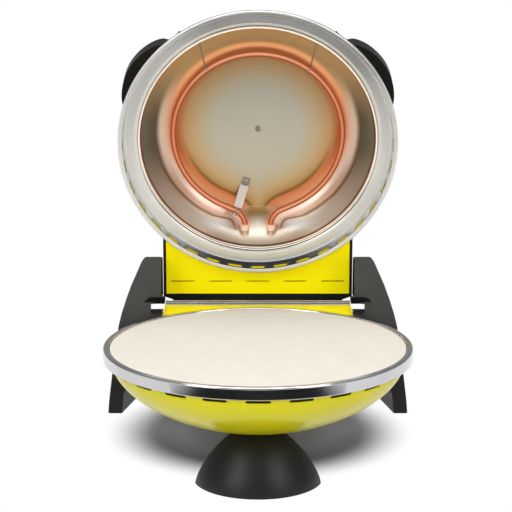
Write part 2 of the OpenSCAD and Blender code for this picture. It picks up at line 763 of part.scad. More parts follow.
module lid_reflector() on_lid() color(steel) difference() {
    depth = dish_depth - band_depth;
    width = dish_r - dish_floor_r;
    lip = 1.1;
    inner = [for (i = [0 : dish_steps]) [dish_floor_r, band_depth]
        + curve(width - 0.6, depth, dish_power, 90 * i / dish_steps)];
    outer = [for (i = [0 : dish_steps]) [dish_floor_r, band_depth]
        + curve(width - 0.6 + dish_wall, depth + dish_wall, dish_power, 90 * i / dish_steps)];
    union() {
        rotate_extrude() polygon(concat(
            inner, [[0, dish_depth], [0, dish_depth + dish_wall]], reversed(outer)
        ));
        translate([0, 0, band_depth - lip * 0.4])
            rotate_extrude() translate([dish_r - 0.9, 0]) circle(r = lip, $fn = 20);
    }
    for (x = [-end_x_upper, end_x_upper])
        translate([x, dish_floor_r + 10, upper_element_z])
            rotate([-90, 0, 0]) cylinder(h = 40, r = element_d / 2 + 0.4, $fn = 32);
    translate([0, 0, dish_depth - 4]) cylinder(h = 8, r = bolt_r + 0.2, $fn = 24);
    translate([clip_foot[0], clip_foot[1], dish_depth - 4])
        cylinder(h = 8, r = screw_r + 0.2, $fn = 24);
}

module upper_heating_element() on_lid() color("orangered")
    translate([0, 0, upper_element_z])
        heater(upper_element_r, upper_gap_angle, upper_bend, end_x_upper, upper_end_y);

module upper_element_ferrules() on_lid() color("tan")
    for (x = [-end_x_upper, end_x_upper])
        translate([x, upper_ferrule_y, upper_element_z])
            rotate([-90, 0, 0]) difference() {
                cylinder(h = ferrule_l, r = ferrule_r);
                translate([0, 0, -1]) cylinder(h = ferrule_l + 2, r = element_d / 2 + hinge_gap);
            }

module element_hangers() on_lid() color(steel) both_sides() {
    loop = element_d / 2 + hanger_wire_r + 0.1;
    top = concat((dish_r - 5.2) * [-sin(hanger_top_angle), -cos(hanger_top_angle)], band_depth + 4.2);
    end = concat((upper_element_r + loop) * [-sin(hanger_angle), -cos(hanger_angle)], upper_element_z);
    rod(top, end, hanger_wire_r);
    translate(top) sphere(r = hanger_wire_r + 0.8, $fn = 20);
    rotate([0, 0, -hanger_angle - 90])
        translate([upper_element_r, 0, upper_element_z])
            rotate([90, 0, 0]) rotate_extrude() translate([loop, 0]) circle(r = hanger_wire_r, $fn = 20);
}

module element_clip() on_lid() color(steel) {
    wire = 0.8;
    loop = element_d / 2 + wire + seat_gap;
    heading = upper_gap_angle + 8;
    grip_at = bend_centre(upper_element_r, upper_gap_angle, upper_bend, end_x_upper)
        + upper_bend * [sin(heading), -cos(heading)];
    away = atan2(clip_foot[0] - grip_at[0], grip_at[1] - clip_foot[1]);
    reach = norm(grip_at - clip_foot) - loop - 5;
    rise = dish_depth - upper_element_z;
    translate([clip_foot[0], clip_foot[1], 0]) rotate([0, 0, away]) difference() {
        union() {
            translate([-5, -5, dish_depth - sheet]) cube([10, 10, sheet]);
            translate([-5, 5, dish_depth - sheet])
                rotate([-atan2(rise, reach), 0, 0]) cube([10, norm([rise, reach]) - 1, sheet]);
        }
        translate([0, 0, dish_depth - 4]) cylinder(h = 8, r = screw_r + 0.2, $fn = 24);
    }
    translate([grip_at[0], grip_at[1], upper_element_z]) rotate([0, 0, heading])
        for (x = [-2.4, 2.4])
            translate([x, 0, 0])
                rotate([0, 90, 0]) rotate_extrude() translate([loop, 0]) circle(r = wire, $fn = 20);
}

module clip_screw() on_lid() color(steel)
    translate([clip_foot[0], clip_foot[1], dish_depth - sheet]) mirror([0, 0, 1]) screw(4);

module centre_bolt() on_lid() color(steel)
    translate([0, 0, dish_depth]) {
        translate([0, 0, -2.6]) cylinder(h = 2.6, r = bolt_head_r, $fn = 32);
        cylinder(h = 3.4, r = bolt_r, $fn = 24);
        translate([0, 0, -3.4]) cylinder(h = 0.8, r1 = bolt_head_r - 1.4, r2 = bolt_head_r - 0.6, $fn = 32);
    }

module insulation_disc() on_lid() color("ghostwhite") difference() {
    translate([0, 0, dish_depth + dish_wall + 0.1]) cylinder(h = 3.6, r = dish_floor_r - 12);
    translate([0, 0, dish_depth]) cylinder(h = 10, r = 34);
    translate([clip_foot[0], clip_foot[1], dish_depth]) cylinder(h = 10, r = 5);
}

// Front outline of the rear box with the lid open, narrow below its shoulders
module box_outline(inset) {
    half = box_half_w - inset;
    waist = waist_half_w - inset;
    polygon([
        [-half, box_top - inset], [half, box_top - inset], [half, shoulder_z + inset * 0.6],
        [waist, waist_z + inset * 0.6], [waist, box_bottom + inset],
        [-waist, box_bottom + inset], [-waist, waist_z + inset * 0.6], [-half, shoulder_z + inset * 0.6]
    ]);
}

module rear_box_housing() at_base() color(black) difference() {
    union() {
        translate([0, box_back, 0]) rotate([90, 0, 0]) linear_extrude(box_t) box_outline(0);
        both_sides() translate([arm_x0, hinge_y, hinge_z]) {
            rotate([0, 90, 0]) cylinder(h = arm_x1 - arm_x0, r = knuckle_r);
            translate([0, 0, -knuckle_r])
                cube([arm_x1 - arm_x0, box_front - hinge_y + 1, 2 * knuckle_r]);
        }
    }
    translate([0, box_back - box_wall, 0]) rotate([90, 0, 0])
        linear_extrude(box_t - 2 * box_wall) box_outline(box_wall);
    translate([-panel_half_w - 0.2, box_front - 1, panel_bottom - 0.2])
        cube([2 * panel_half_w + 0.4, box_t + 2, box_top - box_wall - panel_bottom]);
    lid_in_base() dome_solid(seat_gap);
    translate([-big / 2, box_back, box_bottom - 1]) rotate([45, 0, 0])
        translate([0, -9, -9]) cube([big, 18, 18]);
    both_sides() translate([arm_x0 - 1, hinge_y, hinge_z])
        rotate([0, 90, 0]) cylinder(h = arm_x1 - arm_x0 + 2, r = bush_r + 0.02);
    translate([-arm_x0 + 20, box_front - 1, hinge_z]) rotate([-90, 0, 0]) cylinder(h = 6, r = 6, $fn = 32);
}

// Pressed tray that closes the box; its rim turns inwards all round
module box_tray(face_y, inwards) {
    depth = 8;
    translate([-panel_half_w, face_y, panel_bottom]) difference() {
        translate([0, inwards > 0 ? 0 : -depth, 0])
            cube([2 * panel_half_w, depth, box_top - box_wall - panel_bottom - 0.4]);
        translate([sheet, inwards > 0 ? sheet : -depth - 1, sheet])
            cube([2 * (panel_half_w - sheet), depth + 1 - sheet,
                box_top - box_wall - panel_bottom - 0.4 - 2 * sheet]);
    }
}

module rear_box_panel() at_base() color(yellow) difference() {
    box_tray(box_front - 0.3, 1);
    for (i = [0 : panel_slots - 1])
        translate([(i - (panel_slots - 1) / 2) * panel_slot_pitch, box_front, panel_slot_z])
            slot(panel_slot_l, panel_slot_h, 6);
    lid_in_base() dome_solid(seat_gap);
}

module rear_box_cover() at_base() color(yellow) difference() {
    box_tray(box_back, -1);
    both_sides() for (z = [panel_bottom + 9, box_top - 14])
        translate([cover_screw_x, box_back - 4, z])
            rotate([-90, 0, 0]) cylinder(h = 8, r = screw_r + 0.2, $fn = 24);
    lid_in_base() dome_solid(seat_gap);
}

module cover_screws() at_base() color(steel) both_sides()
    for (z = [panel_bottom + 9, box_top - 14])
        translate([cover_screw_x, box_back, z]) rotate([-90, 0, 0]) screw(8);

module hinge_bushes() at_base() color("#b08d57") both_sides()
    translate([arm_x0, hinge_y, hinge_z]) rotate([0, 90, 0]) difference() {
        cylinder(h = arm_x1 - arm_x0, r = bush_r);
        translate([0, 0, -1]) cylinder(h = arm_x1 - arm_x0 + 2, r = axle_d / 2 + hinge_gap);
    }

// Plan of one grip: it swells beyond the dome between its two ends
function grip_plan() = let (base = dome_r - 30, rise = grip_r - dome_r + 5.3, steps = 24) concat(
    [for (i = [0 : steps])
        let (s = -1 + 2 * i / steps,
            a = grip_half_angle * s - 90 + grip_angle,
            r = dome_r - 5.3 + rise * pow(1 - pow(abs(s), grip_power), 1 / grip_power))
        r * [cos(a), sin(a)]],
    [base * [cos(-70 + grip_angle), sin(-70 + grip_angle)],
        base * [cos(-110 + grip_angle), sin(-110 + grip_angle)]]
);

module handle() difference() {
    grip_z0 = 20;
    grip_z1 = 42;
    fin_z = grip_z0 + 3;
    fin_h = 8;
    union() {
        difference() {
            translate([0, 0, grip_z0]) linear_extrude(grip_z1 - grip_z0) polygon(grip_plan());
            translate([-big, -grip_front - big, 0]) cube([2 * big, big, big]);
        }
        // Pointed fin in front of the grip, joined to it by a rib along the dome
        translate([0, 0, fin_z]) linear_extrude(fin_h) rotate(fin_angle - 90) polygon([
            [dome_r - 16, -1], [dome_r - 5, 0.8], [dome_r - 1.8, 0], [dome_r - 4.7, 10],
            [dome_r - 5.4, 18], [dome_r - 6.7, 27], [dome_r - 16, 27]
        ]);
        // Strap over the dome from the hub to the grip
        intersection() {
            difference() {
                dome_solid(6.5);
                cylinder(h = grip_z0, r = big);
            }
            rotate([0, 0, grip_angle]) translate([-17, -dome_r - 4, 0]) cube([34, dome_r + 4, big]);
        }
    }
    dome_solid(seat_gap);
    cylinder(h = big, r = hub_r + seat_gap);
    rotate([0, 0, grip_angle]) translate([0, -dome_r * 0.62, dome_h - 30])
        cylinder(h = 60, r = screw_r + 0.2, $fn = 24);
}

module right_handle() on_lid() color(black) handle();

module left_handle() on_lid() color(black) mirror([1, 0, 0]) handle();

module handle_screws() on_lid() color(steel)
    for (angle = [-grip_angle, grip_angle])
        rotate([0, 0, angle]) translate([0, -dome_r * 0.62, handle_top(dome_r * 0.62)]) screw(9);

// Height of the strap's top at a distance r from the lid's centre
function handle_top(r) =
    dome_base + (dome_rise + 6.5) * pow(1 - pow(r / (dome_r + 6.5), dome_power), 1 / dome_power) + 1.2;

module knob_hub() on_lid() color(black) difference() {
    bevel = 3;
    rotate_extrude() polygon([
        [0, dome_h - 16], [hub_r, dome_h - 16], [hub_r, hub_top - bevel],
        [hub_r - bevel, hub_top], [0, hub_top]
    ]);
    dome_solid(seat_gap);
    translate([0, 0, dome_h - 6]) cylinder(h = 40, r = spindle_r + 1, $fn = 32);
    translate([0, -hub_r + 7, dome_h - 6]) cylinder(h = 40, r = 4.1, $fn = 32);
}

module dial_plate() on_lid() color(chrome) translate([0, 0, hub_top]) difference() {
    cylinder(h = 0.6, r = knob_r + 13);
    translate([0, 0, -1]) cylinder(h = 3, r = spindle_r + 1.2);
}

module pilot_lamp() on_lid() color("darkorange")
    translate([0, -hub_r + 7, hub_top - 6]) {
        cylinder(h = 6.2, r = 4, $fn = 32);
        translate([0, 0, 6.2]) cylinder(h = 1.4, r1 = 4, r2 = 2.6, $fn = 32);
    }

module thermostat_bracket() on_lid() color(steel) {
    half = 21;
    translate([0, 0, dish_depth + dish_wall + 0.1]) difference() {
        union() {
            translate([-half - sheet, -12, 0]) cube([2 * (half + sheet), 24, sheet]);
            both_sides() translate([half, -12, 0]) cube([sheet, 24, 12]);
        }
        translate([0, 0, -1]) cylinder(h = 4, r = bolt_r + 0.2, $fn = 24);
    }
}

module thermostat_body() on_lid() color("#8a6a4a") difference() {
    translate([-20.8, -13, thermostat_z0]) cube([41.6, 26, thermostat_z1 - thermostat_z0]);
    translate([0, 0, thermostat_z0 + 3]) cylinder(h = 20, r = spindle_r + hinge_gap, $fn = 32);
}

module thermostat_spindle() on_lid() color(steel)
    translate([0, 0, thermostat_z0 + 3.2]) cylinder(h = knob_top - 6 - thermostat_z0 - 3.2, r = spindle_r, $fn = 32);

module thermostat_knob() on_lid() color(black) difference() {
    union() {
        translate([0, 0, knob_base]) cylinder(h = 6, r1 = knob_r, r2 = knob_r - 1);
        translate([0, 0, knob_base + 6]) cylinder(h = 1, r1 = knob_r - 1, r2 = knob_r - 2);
        translate([-5, -knob_bar_half, knob_base + 6]) cube([10, 2 * knob_bar_half, knob_h - 6]);
    }
    translate([0, 0, knob_base - 1]) cylinder(h = knob_h - 5, r = spindle_r + 0.02, $fn = 32);
    translate([-0.9, -knob_r + 4, knob_top - 0.8]) cube([1.8, knob_r - 8, 2]);
}

module knob_pointer() on_lid() color("white")
    translate([-0.85, -knob_r + 4.05, knob_top - 0.8]) cube([1.7, knob_r - 8.1, 0.9]);

bowl_shell();
base_rim_ring();
baking_stone();
lower_reflector_pan();
lower_heating_element();
lower_element_clips();
lower_element_ferrules();
pan_posts();
pan_screws();
rear_deck();
deck_trim();
deck_bottom_plate();
deck_screws();
terminal_block();
thermal_cutout();
cable_gland();
front_foot();
foot_screws();
foot_pads();
left_leg();
right_leg();
leg_screws();
hinge_axle();
axle_caps();
stop_bar();
lid_stops();
lid_dome();
lid_rim_ring();
lid_reflector();
upper_heating_element();
upper_element_ferrules();
element_hangers();
element_clip();
clip_screw();
centre_bolt();
insulation_disc();
rear_box_housing();
rear_box_panel();
rear_box_cover();
cover_screws();
hinge_bushes();
left_handle();
right_handle();
handle_screws();
knob_hub();
dial_plate();
pilot_lamp();
thermostat_body();
thermostat_bracket();
thermostat_spindle();
thermostat_knob();
knob_pointer();
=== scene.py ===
import json
import math

import bmesh
import bpy
from mathutils import Matrix, Vector


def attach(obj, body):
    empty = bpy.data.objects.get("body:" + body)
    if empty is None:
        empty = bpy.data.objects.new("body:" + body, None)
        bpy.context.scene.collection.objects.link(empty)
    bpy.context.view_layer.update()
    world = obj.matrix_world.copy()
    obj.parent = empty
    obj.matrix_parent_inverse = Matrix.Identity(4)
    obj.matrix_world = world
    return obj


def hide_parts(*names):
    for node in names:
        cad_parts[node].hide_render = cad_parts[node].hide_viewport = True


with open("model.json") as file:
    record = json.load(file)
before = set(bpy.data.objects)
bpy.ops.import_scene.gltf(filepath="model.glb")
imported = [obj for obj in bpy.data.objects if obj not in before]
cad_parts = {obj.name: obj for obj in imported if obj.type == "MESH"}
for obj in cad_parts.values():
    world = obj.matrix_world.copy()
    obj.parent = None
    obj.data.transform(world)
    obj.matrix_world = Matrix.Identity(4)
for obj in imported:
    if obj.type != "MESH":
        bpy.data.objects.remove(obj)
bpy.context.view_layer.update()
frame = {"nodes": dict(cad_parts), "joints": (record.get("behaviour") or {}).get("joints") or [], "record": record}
scene = bpy.context.scene

# The CAD part is drawn round the middle of the stone, so everything here is too, in metres
drawn = {"hingeY": 0.204, "hingeZ": 0.108, "lidZ": 0.1303, "lidOpen": math.radians(76.8)}
hinge = next(j for j in frame["joints"] if j["name"] == "lid_hinge")["pos_m"]
onBase = Matrix.Translation((0, hinge[1] - drawn["hingeY"], 0))
onLid = (
    Matrix.Translation(hinge)
    @ Matrix.Rotation(-drawn["lidOpen"], 4, "X")
    @ Matrix.Translation((0, -drawn["hingeY"], drawn["lidZ"] - drawn["hingeZ"]))
)


# Materials, with the sizes of their patches and grain in millimetres


def hexColor(code):
    # From the sRGB values of a hex code to the linear ones that a socket takes
    parts = [int(code[i : i + 2], 16) / 255 for i in (1, 3, 5)]
    return [p / 12.92 if p <= 0.04045 else ((p + 0.055) / 1.055) ** 2.4 for p in parts] + [1]


def addNode(tree, kind, inputs=None, stops=None, **settings):
    node = tree.nodes.new(kind)
    for name, value in settings.items():
        setattr(node, name, value)
    for name, value in (inputs or {}).items():
        if isinstance(value, bpy.types.NodeSocket):
            tree.links.new(value, node.inputs[name])
        else:
            node.inputs[name].default_value = hexColor(value) if isinstance(value, str) else value
    if stops:
        ramp = node.color_ramp
        while len(ramp.elements) < len(stops):
            ramp.elements.new(0.5)
        for element, (place, color) in zip(ramp.elements, sorted(stops)):
            element.position = place
            element.color = hexColor(color)
    node.location = (220 * len(tree.nodes), 0)
    return node


def layTints(tree, color, tints):
    # Each tint goes over the ones before it by its share. A mix has its colours in sockets 6 and 7
    for share, tint in tints:
        color = addNode(tree, "ShaderNodeMix", {0: share, 6: color, 7: tint}, data_type="RGBA").outputs[2]
    return color


def makeGrain(tree, size, detail):
    place = addNode(tree, "ShaderNodeTexCoord").outputs["Object"]
    noise = {"Vector": place, "Scale": 1000 / size, "Detail": detail}
    return addNode(tree, "ShaderNodeTexNoise", noise).outputs["Fac"]


def newMaterial(name):
    material = bpy.data.materials.new(name)
    material.use_nodes = True
    tree = material.node_tree
    tree.nodes.clear()
    return material, tree, addNode(tree, "ShaderNodeOutputMaterial")


# What a finish has unless it says otherwise. Its grain, mostly a tenth of this, is drawn coarse to show
usual = {
    "patch": 40, "grain": 1.1, "bump": 0.05, "depth": 0.0002, "metal": 0, "coat": 0, "coatRough": 0.05,
    "specular": 0.5, "tints": [],
}


def makeFinish(look):
    look = {**usual, **look}
    material, tree, output = newMaterial(look["name"])
    fine = makeGrain(tree, look["grain"], 4)
    patches = makeGrain(tree, look["patch"], 2)
    stops = [(0.3, look["dark"]), (0.7, look["light"])]
    color = addNode(tree, "ShaderNodeValToRGB", {"Fac": patches}, stops).outputs["Color"]
    tints = []
    # A low shade is painted shade: the colour darkens towards the table below the given heights
    if "lowShade" in look:
        low = look["lowShade"]
        place = addNode(tree, "ShaderNodeTexCoord").outputs["Object"]
        height = addNode(tree, "ShaderNodeSeparateXYZ", {0: place}).outputs["Z"]
        span = {"Value": height, "From Min": low["below"], "From Max": low["above"], "To Min": 1, "To Max": 0}
        tints.append((addNode(tree, "ShaderNodeMapRange", span).outputs["Result"], low["color"]))
    for attribute, tint in look["tints"]:
        tints.append((addNode(tree, "ShaderNodeAttribute", attribute_name=attribute).outputs["Fac"], tint))
    metal = look["metal"]
    if "dulled" in look:
        attribute, dullMetal = look["dulled"]
        share = addNode(tree, "ShaderNodeAttribute", attribute_name=attribute).outputs["Fac"]
        span = {"Value": share, "To Min": metal, "To Max": dullMetal}
        metal = addNode(tree, "ShaderNodeMapRange", span).outputs["Result"]
    smoothest, roughest = look["rough"]
    rough = addNode(tree, "ShaderNodeMapRange", {"Value": fine, "To Min": smoothest, "To Max": roughest})
    bump = addNode(
        tree, "ShaderNodeBump", {"Height": fine, "Strength": look["bump"], "Distance": look["depth"]}
    )
    shader = addNode(
        tree,
        "ShaderNodeBsdfPrincipled",
        {
            "Base Color": layTints(tree, color, tints),
            "Roughness": rough.outputs["Result"],
            "Metallic": metal,
            "Normal": bump.outputs["Normal"],
            "Coat Weight": look["coat"],
            "Coat Roughness": look["coatRough"],
            "Specular IOR Level": look["specular"],
        },
    )
    tree.links.new(shader.outputs["BSDF"], output.inputs["Surface"])
    return material


finishes = {
    # Stove enamel on the dome and the box: an even warm yellow, faintly rippled, with a wet shine
    "yellow_enamel": {
        "name": "Stove enamel on steel", "dark": "#F5E000", "light": "#F9E704", "rough": (0.3, 0.36),
        "grain": 6.25, "bump": 0.03, "coat": 0.7, "coatRough": 0.06,
    },
    # Polished chrome plate on the rolled ring: a mirror with crisp dark and white bands
    "chrome_steel": {
        "name": "Polished chrome plate", "dark": "#C9C9CB", "light": "#D4D4D6", "rough": (0.07, 0.13),
        "metal": 1, "grain": 3.3, "bump": 0.01,
    },
    # Fired cordierite: dry warm white with a sandy face
    "cordierite_stone": {
        "name": "Fired cordierite", "dark": "#CAC5B9", "light": "#CEC9BE", "rough": (0.75, 0.9),
        "patch": 17, "grain": 0.55, "bump": 0.25, "depth": 0.0003,
    },
    # Rolled sheet with an aluminium coat: dull silver
    "aluminised_steel": {
        "name": "Aluminised sheet", "dark": "#A7A7A5", "light": "#B7B7B5", "rough": (0.3, 0.42),
        "metal": 1, "grain": 2,
    },
    # Element sheath browned by use: nearly black with hardly a shine
    "dark_element": {
        "name": "Oxidised element sheath", "dark": "#3A3431", "light": "#4B433E", "rough": (0.45, 0.6),
        "metal": 0.6,
    },
    # Zinc plated screws, wire and small pressings: mid grey with a soft shine
    "plain_steel": {
        "name": "Zinc plated steel", "dark": "#8E8D8B", "light": "#A3A2A0", "rough": (0.25, 0.38), "metal": 1,
    },
    # Glazed steatite: cream with a glassy skin
    "ceramic": {"name": "Glazed steatite", "dark": "#D9CDB8", "light": "#E6DBC8", "rough": (0.2, 0.3)},
    # Phenolic foot and box, moulded with a grain that takes the shine off, drawn twice as coarse to show
    "black_plastic": {
        "name": "Grained phenolic moulding", "dark": "#0B0B0A", "light": "#0F0F0E", "rough": (0.36, 0.48),
        "grain": 0.4, "bump": 0.3, "depth": 0.0002, "specular": 0.4,
    },
    # Phenolic grips, hub and knob from a smooth mould: deep black with a quiet gloss
    "gloss_black_plastic": {
        "name": "Smooth phenolic moulding", "dark": "#0B0B0B", "light": "#0F0F0E", "rough": (0.32, 0.4),
        "grain": 0.8, "bump": 0.04, "specular": 0.22,
    },
    # Moulded rubber: flat, slightly dusty black
    "black_rubber": {"name": "Moulded rubber", "dark": "#161616", "light": "#1D1D1C", "rough": (0.7, 0.85)},
    # Satin rolled stainless: pale silver, paler where the stone lights the flange, dark in the band's shade.
    # Its rolling grain is far finer in truth and drawn coarse to show
    "satin_stainless": {
        "name": "Satin stainless", "dark": "#DADAD8", "light": "#E2E2E0", "rough": (0.26, 0.34),
        "metal": 1, "grain": 1.4, "bump": 0.03,
        "tints": [("litByStone", "#E0DFDC"), ("inShade", "#3B3B40")], "dulled": ("litByStone", 0.6),
    },
    # Pressed ceramic felt: chalky, with a loose face
    "felt": {"name": "Ceramic felt", "dark": "#D8D5CC", "light": "#E2DFD6", "rough": (0.9, 1.0), "bump": 0.5},
    # Sintered bronze: brownish gold, dull from its pores
    "bronze": {
        "name": "Sintered bronze", "dark": "#8F6B3A", "light": "#A5804B", "rough": (0.35, 0.5), "metal": 1,
    },
    # Moulded lens of the pilot lamp: clear orange with a sharp highlight
    "amber_lens": {
        "name": "Moulded amber lens", "dark": "#E0700A", "light": "#F08414", "rough": (0.08, 0.15),
        "coat": 0.5,
    },
    # Phenolic thermostat case: plain brown
    "brown_plastic": {
        "name": "Brown phenolic moulding", "dark": "#4A3326", "light": "#5A4031", "rough": (0.4, 0.5),
    },
    # Paint in the knob's pointer: flat white
    "white_plastic": {"name": "Painted infill", "dark": "#E8E8E4", "light": "#F1F1EE", "rough": (0.4, 0.5)},
}
materials = {slot: makeFinish(look) for slot, look in finishes.items()}

# Pressed front of the rear box: the same enamel, flatter, and painted brighter and stronger in colour as painted
# light, for it lies in the lid's shade
satinEnamel = makeFinish({
    "name": "Satin stove enamel", "dark": "#FFEE00", "light": "#FFF000", "rough": (0.5, 0.58),
    "grain": 6.25, "bump": 0.02, "specular": 0.12,
})
# Enamel on the bowl: the lid's yellow painted darker and a shade greener as painted shade, for the bowl gets less
# light below the rim, and with less shine
bowlEnamel = makeFinish({
    "name": "Stove enamel on the bowl", "dark": "#C9C000", "light": "#CEC500", "rough": (0.3, 0.36),
    "grain": 6.25, "bump": 0.03, "coat": 0.2, "coatRough": 0.08, "specular": 0.25,
})
# Phenolic legs: the foot's moulding painted greyer as painted light, for they face up into the light, with painted
# shade from the bowl towards the table and on the ledge
legMoulding = makeFinish({
    "name": "Grained phenolic moulding, legs", "dark": "#373735", "light": "#3D3D3B", "rough": (0.45, 0.58),
    "grain": 0.4, "bump": 0.3, "depth": 0.0002, "specular": 0.25,
    "lowShade": {"below": 0.05, "above": 0.13, "color": "#161615"}, "tints": [("ledgeShade", "#0A0A0A")],
})
# Strip of the element's clip: bright rolled steel, warmed by the glow
brightSteel = makeFinish({
    "name": "Bright rolled steel", "dark": "#A89C94", "light": "#B3A79F", "rough": (0.3, 0.4), "metal": 1,
})


def makeGlowing(look):
    # Bright where it faces the eye, deeper at its outline, and unlit at its bare ends
    material, tree, output = newMaterial(look["name"])
    facing = addNode(tree, "ShaderNodeLayerWeight", {"Blend": 0.5}).outputs["Facing"]
    uneven = {0: makeGrain(tree, look["patch"], 3), 1: look["unevenness"], 2: facing}
    level = addNode(tree, "ShaderNodeMath", uneven, operation="MULTIPLY_ADD").outputs[0]
    glow = addNode(tree, "ShaderNodeValToRGB", {"Fac": level}, look["stops"])
    cold = addNode(tree, "ShaderNodeAttribute", attribute_name="cold").outputs["Fac"]
    strength = addNode(tree, "ShaderNodeMapRange", {"Value": cold, "To Min": look["glow"], "To Max": 0})
    shader = addNode(
        tree,
        "ShaderNodeBsdfPrincipled",
        {
            "Base Color": layTints(tree, look["sheath"], [(cold, look["bare"])]),
            "Roughness": look["rough"],
            "Emission Color": glow.outputs["Color"],
            "Emission Strength": strength.outputs["Result"],
        },
    )
    tree.links.new(shader.outputs["BSDF"], output.inputs["Surface"])
    return material


# Element sheath at working heat: salmon orange with a deep red brown outline
materials["hot_element"] = makeGlowing({
    "name": "Glowing element sheath", "sheath": "#2A110A", "bare": "#CDB8A2", "rough": 0.55,
    "patch": 25, "unevenness": 0.06, "glow": 0.85,
    "stops": [(0.03, "#F4AE8A"), (0.09, "#E38D62"), (0.2, "#BF5F2C"), (0.36, "#9A4412")],
})
# Steatite sleeve beside it: pinkish cream with a painted glow, as if lit from within
materials["hot_ferrule"] = makeGlowing({
    "name": "Steatite sleeve near the element", "sheath": "#C9AE9A", "bare": "#C9AE9A", "rough": 0.55,
    "patch": 25, "unevenness": 0.06, "glow": 0.3,
    "stops": [(0.05, "#F0B79A"), (0.6, "#D08A66"), (0.95, "#8E5334")],
})

# Shares from 0 to 1 that the dish's mesh carries for its tints, which are painted glow, reflections, highlight and
# shade
dishTones = [
    "fromElement", "onWall", "upperSide", "lowerSide", "beadHighlight", "creaseShade", "floorEdgeShade", "calm", "mirrored",
]


def makeDishSteel(look):
    material, tree, output = newMaterial(look["name"])
    tone = {}
    for name in dishTones:
        tone[name] = addNode(tree, "ShaderNodeAttribute", attribute_name=name).outputs["Fac"]
    sway = {"Value": makeGrain(tree, look["patch"], 3), "To Min": -look["sway"], "To Max": look["sway"]}
    shift = addNode(tree, "ShaderNodeMapRange", sway).outputs["Result"]
    level = addNode(tree, "ShaderNodeMath", {0: tone["fromElement"], 1: shift}, operation="ADD").outputs[0]
    glowAndReflections = {}
    for name, stops in look["glowAndReflections"].items():
        glowAndReflections[name] = addNode(tree, "ShaderNodeValToRGB", {"Fac": level}, stops).outputs["Color"]
    lit = {}
    for name, stops in look["lit"].items():
        lit[name] = addNode(tree, "ShaderNodeValToRGB", {"Fac": tone["fromElement"]}, stops).outputs["Color"]
    wallSides = [(tone["upperSide"], glowAndReflections["upper"]), (tone["lowerSide"], glowAndReflections["lower"])]
    wall = layTints(tree, glowAndReflections["side"], wallSides)
    floor = layTints(tree, glowAndReflections["floor"], [(tone["lowerSide"], glowAndReflections["floorLow"])])
    plain = [(tone[name], color) for name, color in look["plain"]]
    smoothest, roughest = look["rough"]
    fine = {"Value": makeGrain(tree, look["grain"], 4), "To Min": smoothest, "To Max": roughest}
    metal = {"Value": tone["beadHighlight"], "To Min": look["metal"], "To Max": look["beadMetal"]}
    # The dish's emission is painted glow and a painted reflection of the element
    shader = addNode(
        tree,
        "ShaderNodeBsdfPrincipled",
        {
            "Base Color": layTints(tree, floor, [(tone["onWall"], wall)] + plain),
            "Metallic": addNode(tree, "ShaderNodeMapRange", metal).outputs["Result"],
            "Roughness": addNode(tree, "ShaderNodeMapRange", fine).outputs["Result"],
            "Emission Color": layTints(tree, lit["glow"], [(tone["mirrored"], lit["mirrored"])]),
            "Emission Strength": 1.0,
        },
    )
    tree.links.new(shader.outputs["BSDF"], output.inputs["Surface"])
    return material


# Polished stainless of the dish, painted orange, tan and brown with the element's glow, with painted reflections,
# highlights and shade
materials["polished_stainless"] = makeDishSteel({
    "name": "Polished stainless with painted glow", "rough": (0.28, 0.36), "metal": 0.9, "beadMetal": 0.3,
    "patch": 33, "grain": 2.5, "sway": 0.02,
    # Painted glow from the element on the floor and wall, painted reflections as the dark brown bands, and painted
    # highlights as the palest stops
    "glowAndReflections": {
        "floor": [
            (0.0, "#C67C4E"), (0.1, "#CE8C5E"), (0.22, "#D3A876"), (0.45, "#D2B58C"), (0.72, "#CEC0A5"),
            (1.0, "#CBC6B9"),
        ],
        "floorLow": [
            (0.0, "#C67C4E"), (0.1, "#CC8858"), (0.17, "#94703E"), (0.24, "#C49E6A"), (0.45, "#D2B58C"),
            (0.72, "#CEC0A5"), (1.0, "#CBC6B9"),
        ],
        "side": [
            (0.0, "#D88458"), (0.1, "#E2AE90"), (0.28, "#E6D2BC"), (0.38, "#7A705C"), (0.5, "#777B70"),
            (0.7, "#88918C"), (1.0, "#949E9B"),
        ],
        "upper": [(0.0, "#DC8C5C"), (0.12, "#DEAF82"), (0.4, "#E0D2A6"), (0.8, "#DCDAB8"), (1.0, "#DCDCC2")],
        "lower": [
            (0.0, "#DFA686"), (0.1, "#F1D6C2"), (0.27, "#F6EADC"), (0.33, "#F4E0C8"), (0.385, "#7A6242"),
            (0.44, "#CFCBBA"), (0.65, "#DDE6E0"), (1.0, "#E6EEEC"),
        ],
    },
    # Plain cream where the painted dark band fades, painted shade by the floor's edge and in the crease, and a
    # painted highlight on the bead
    "plain": [("calm", "#D2CCBC"), ("floorEdgeShade", "#AE8A52"), ("creaseShade", "#5E5248"), ("beadHighlight", "#FFF4E4")],
    # Painted glow given off by the dish near the element, and a painted reflection of the element where it is
    # mirrored
    "lit": {
        "glow": [(0.0, "#3A1607"), (0.06, "#200C04"), (0.16, "#060201"), (0.22, "#000000")],
        "mirrored": [(0.0, "#8A6248"), (0.09, "#7C5236"), (0.15, "#2A1408"), (0.2, "#000000")],
    },
})

for part in frame["record"]["subparts"]:
    node = frame["nodes"][part["node"]]
    node.data.materials.clear()
    node.data.materials.append(materials[part["material_slot"]])
frame["nodes"]["element_clip"].data.materials[0] = brightSteel
print("finishes on", len(frame["nodes"]), "CAD nodes")


# Pieces

merge = 1e-6  # points closer than this are one


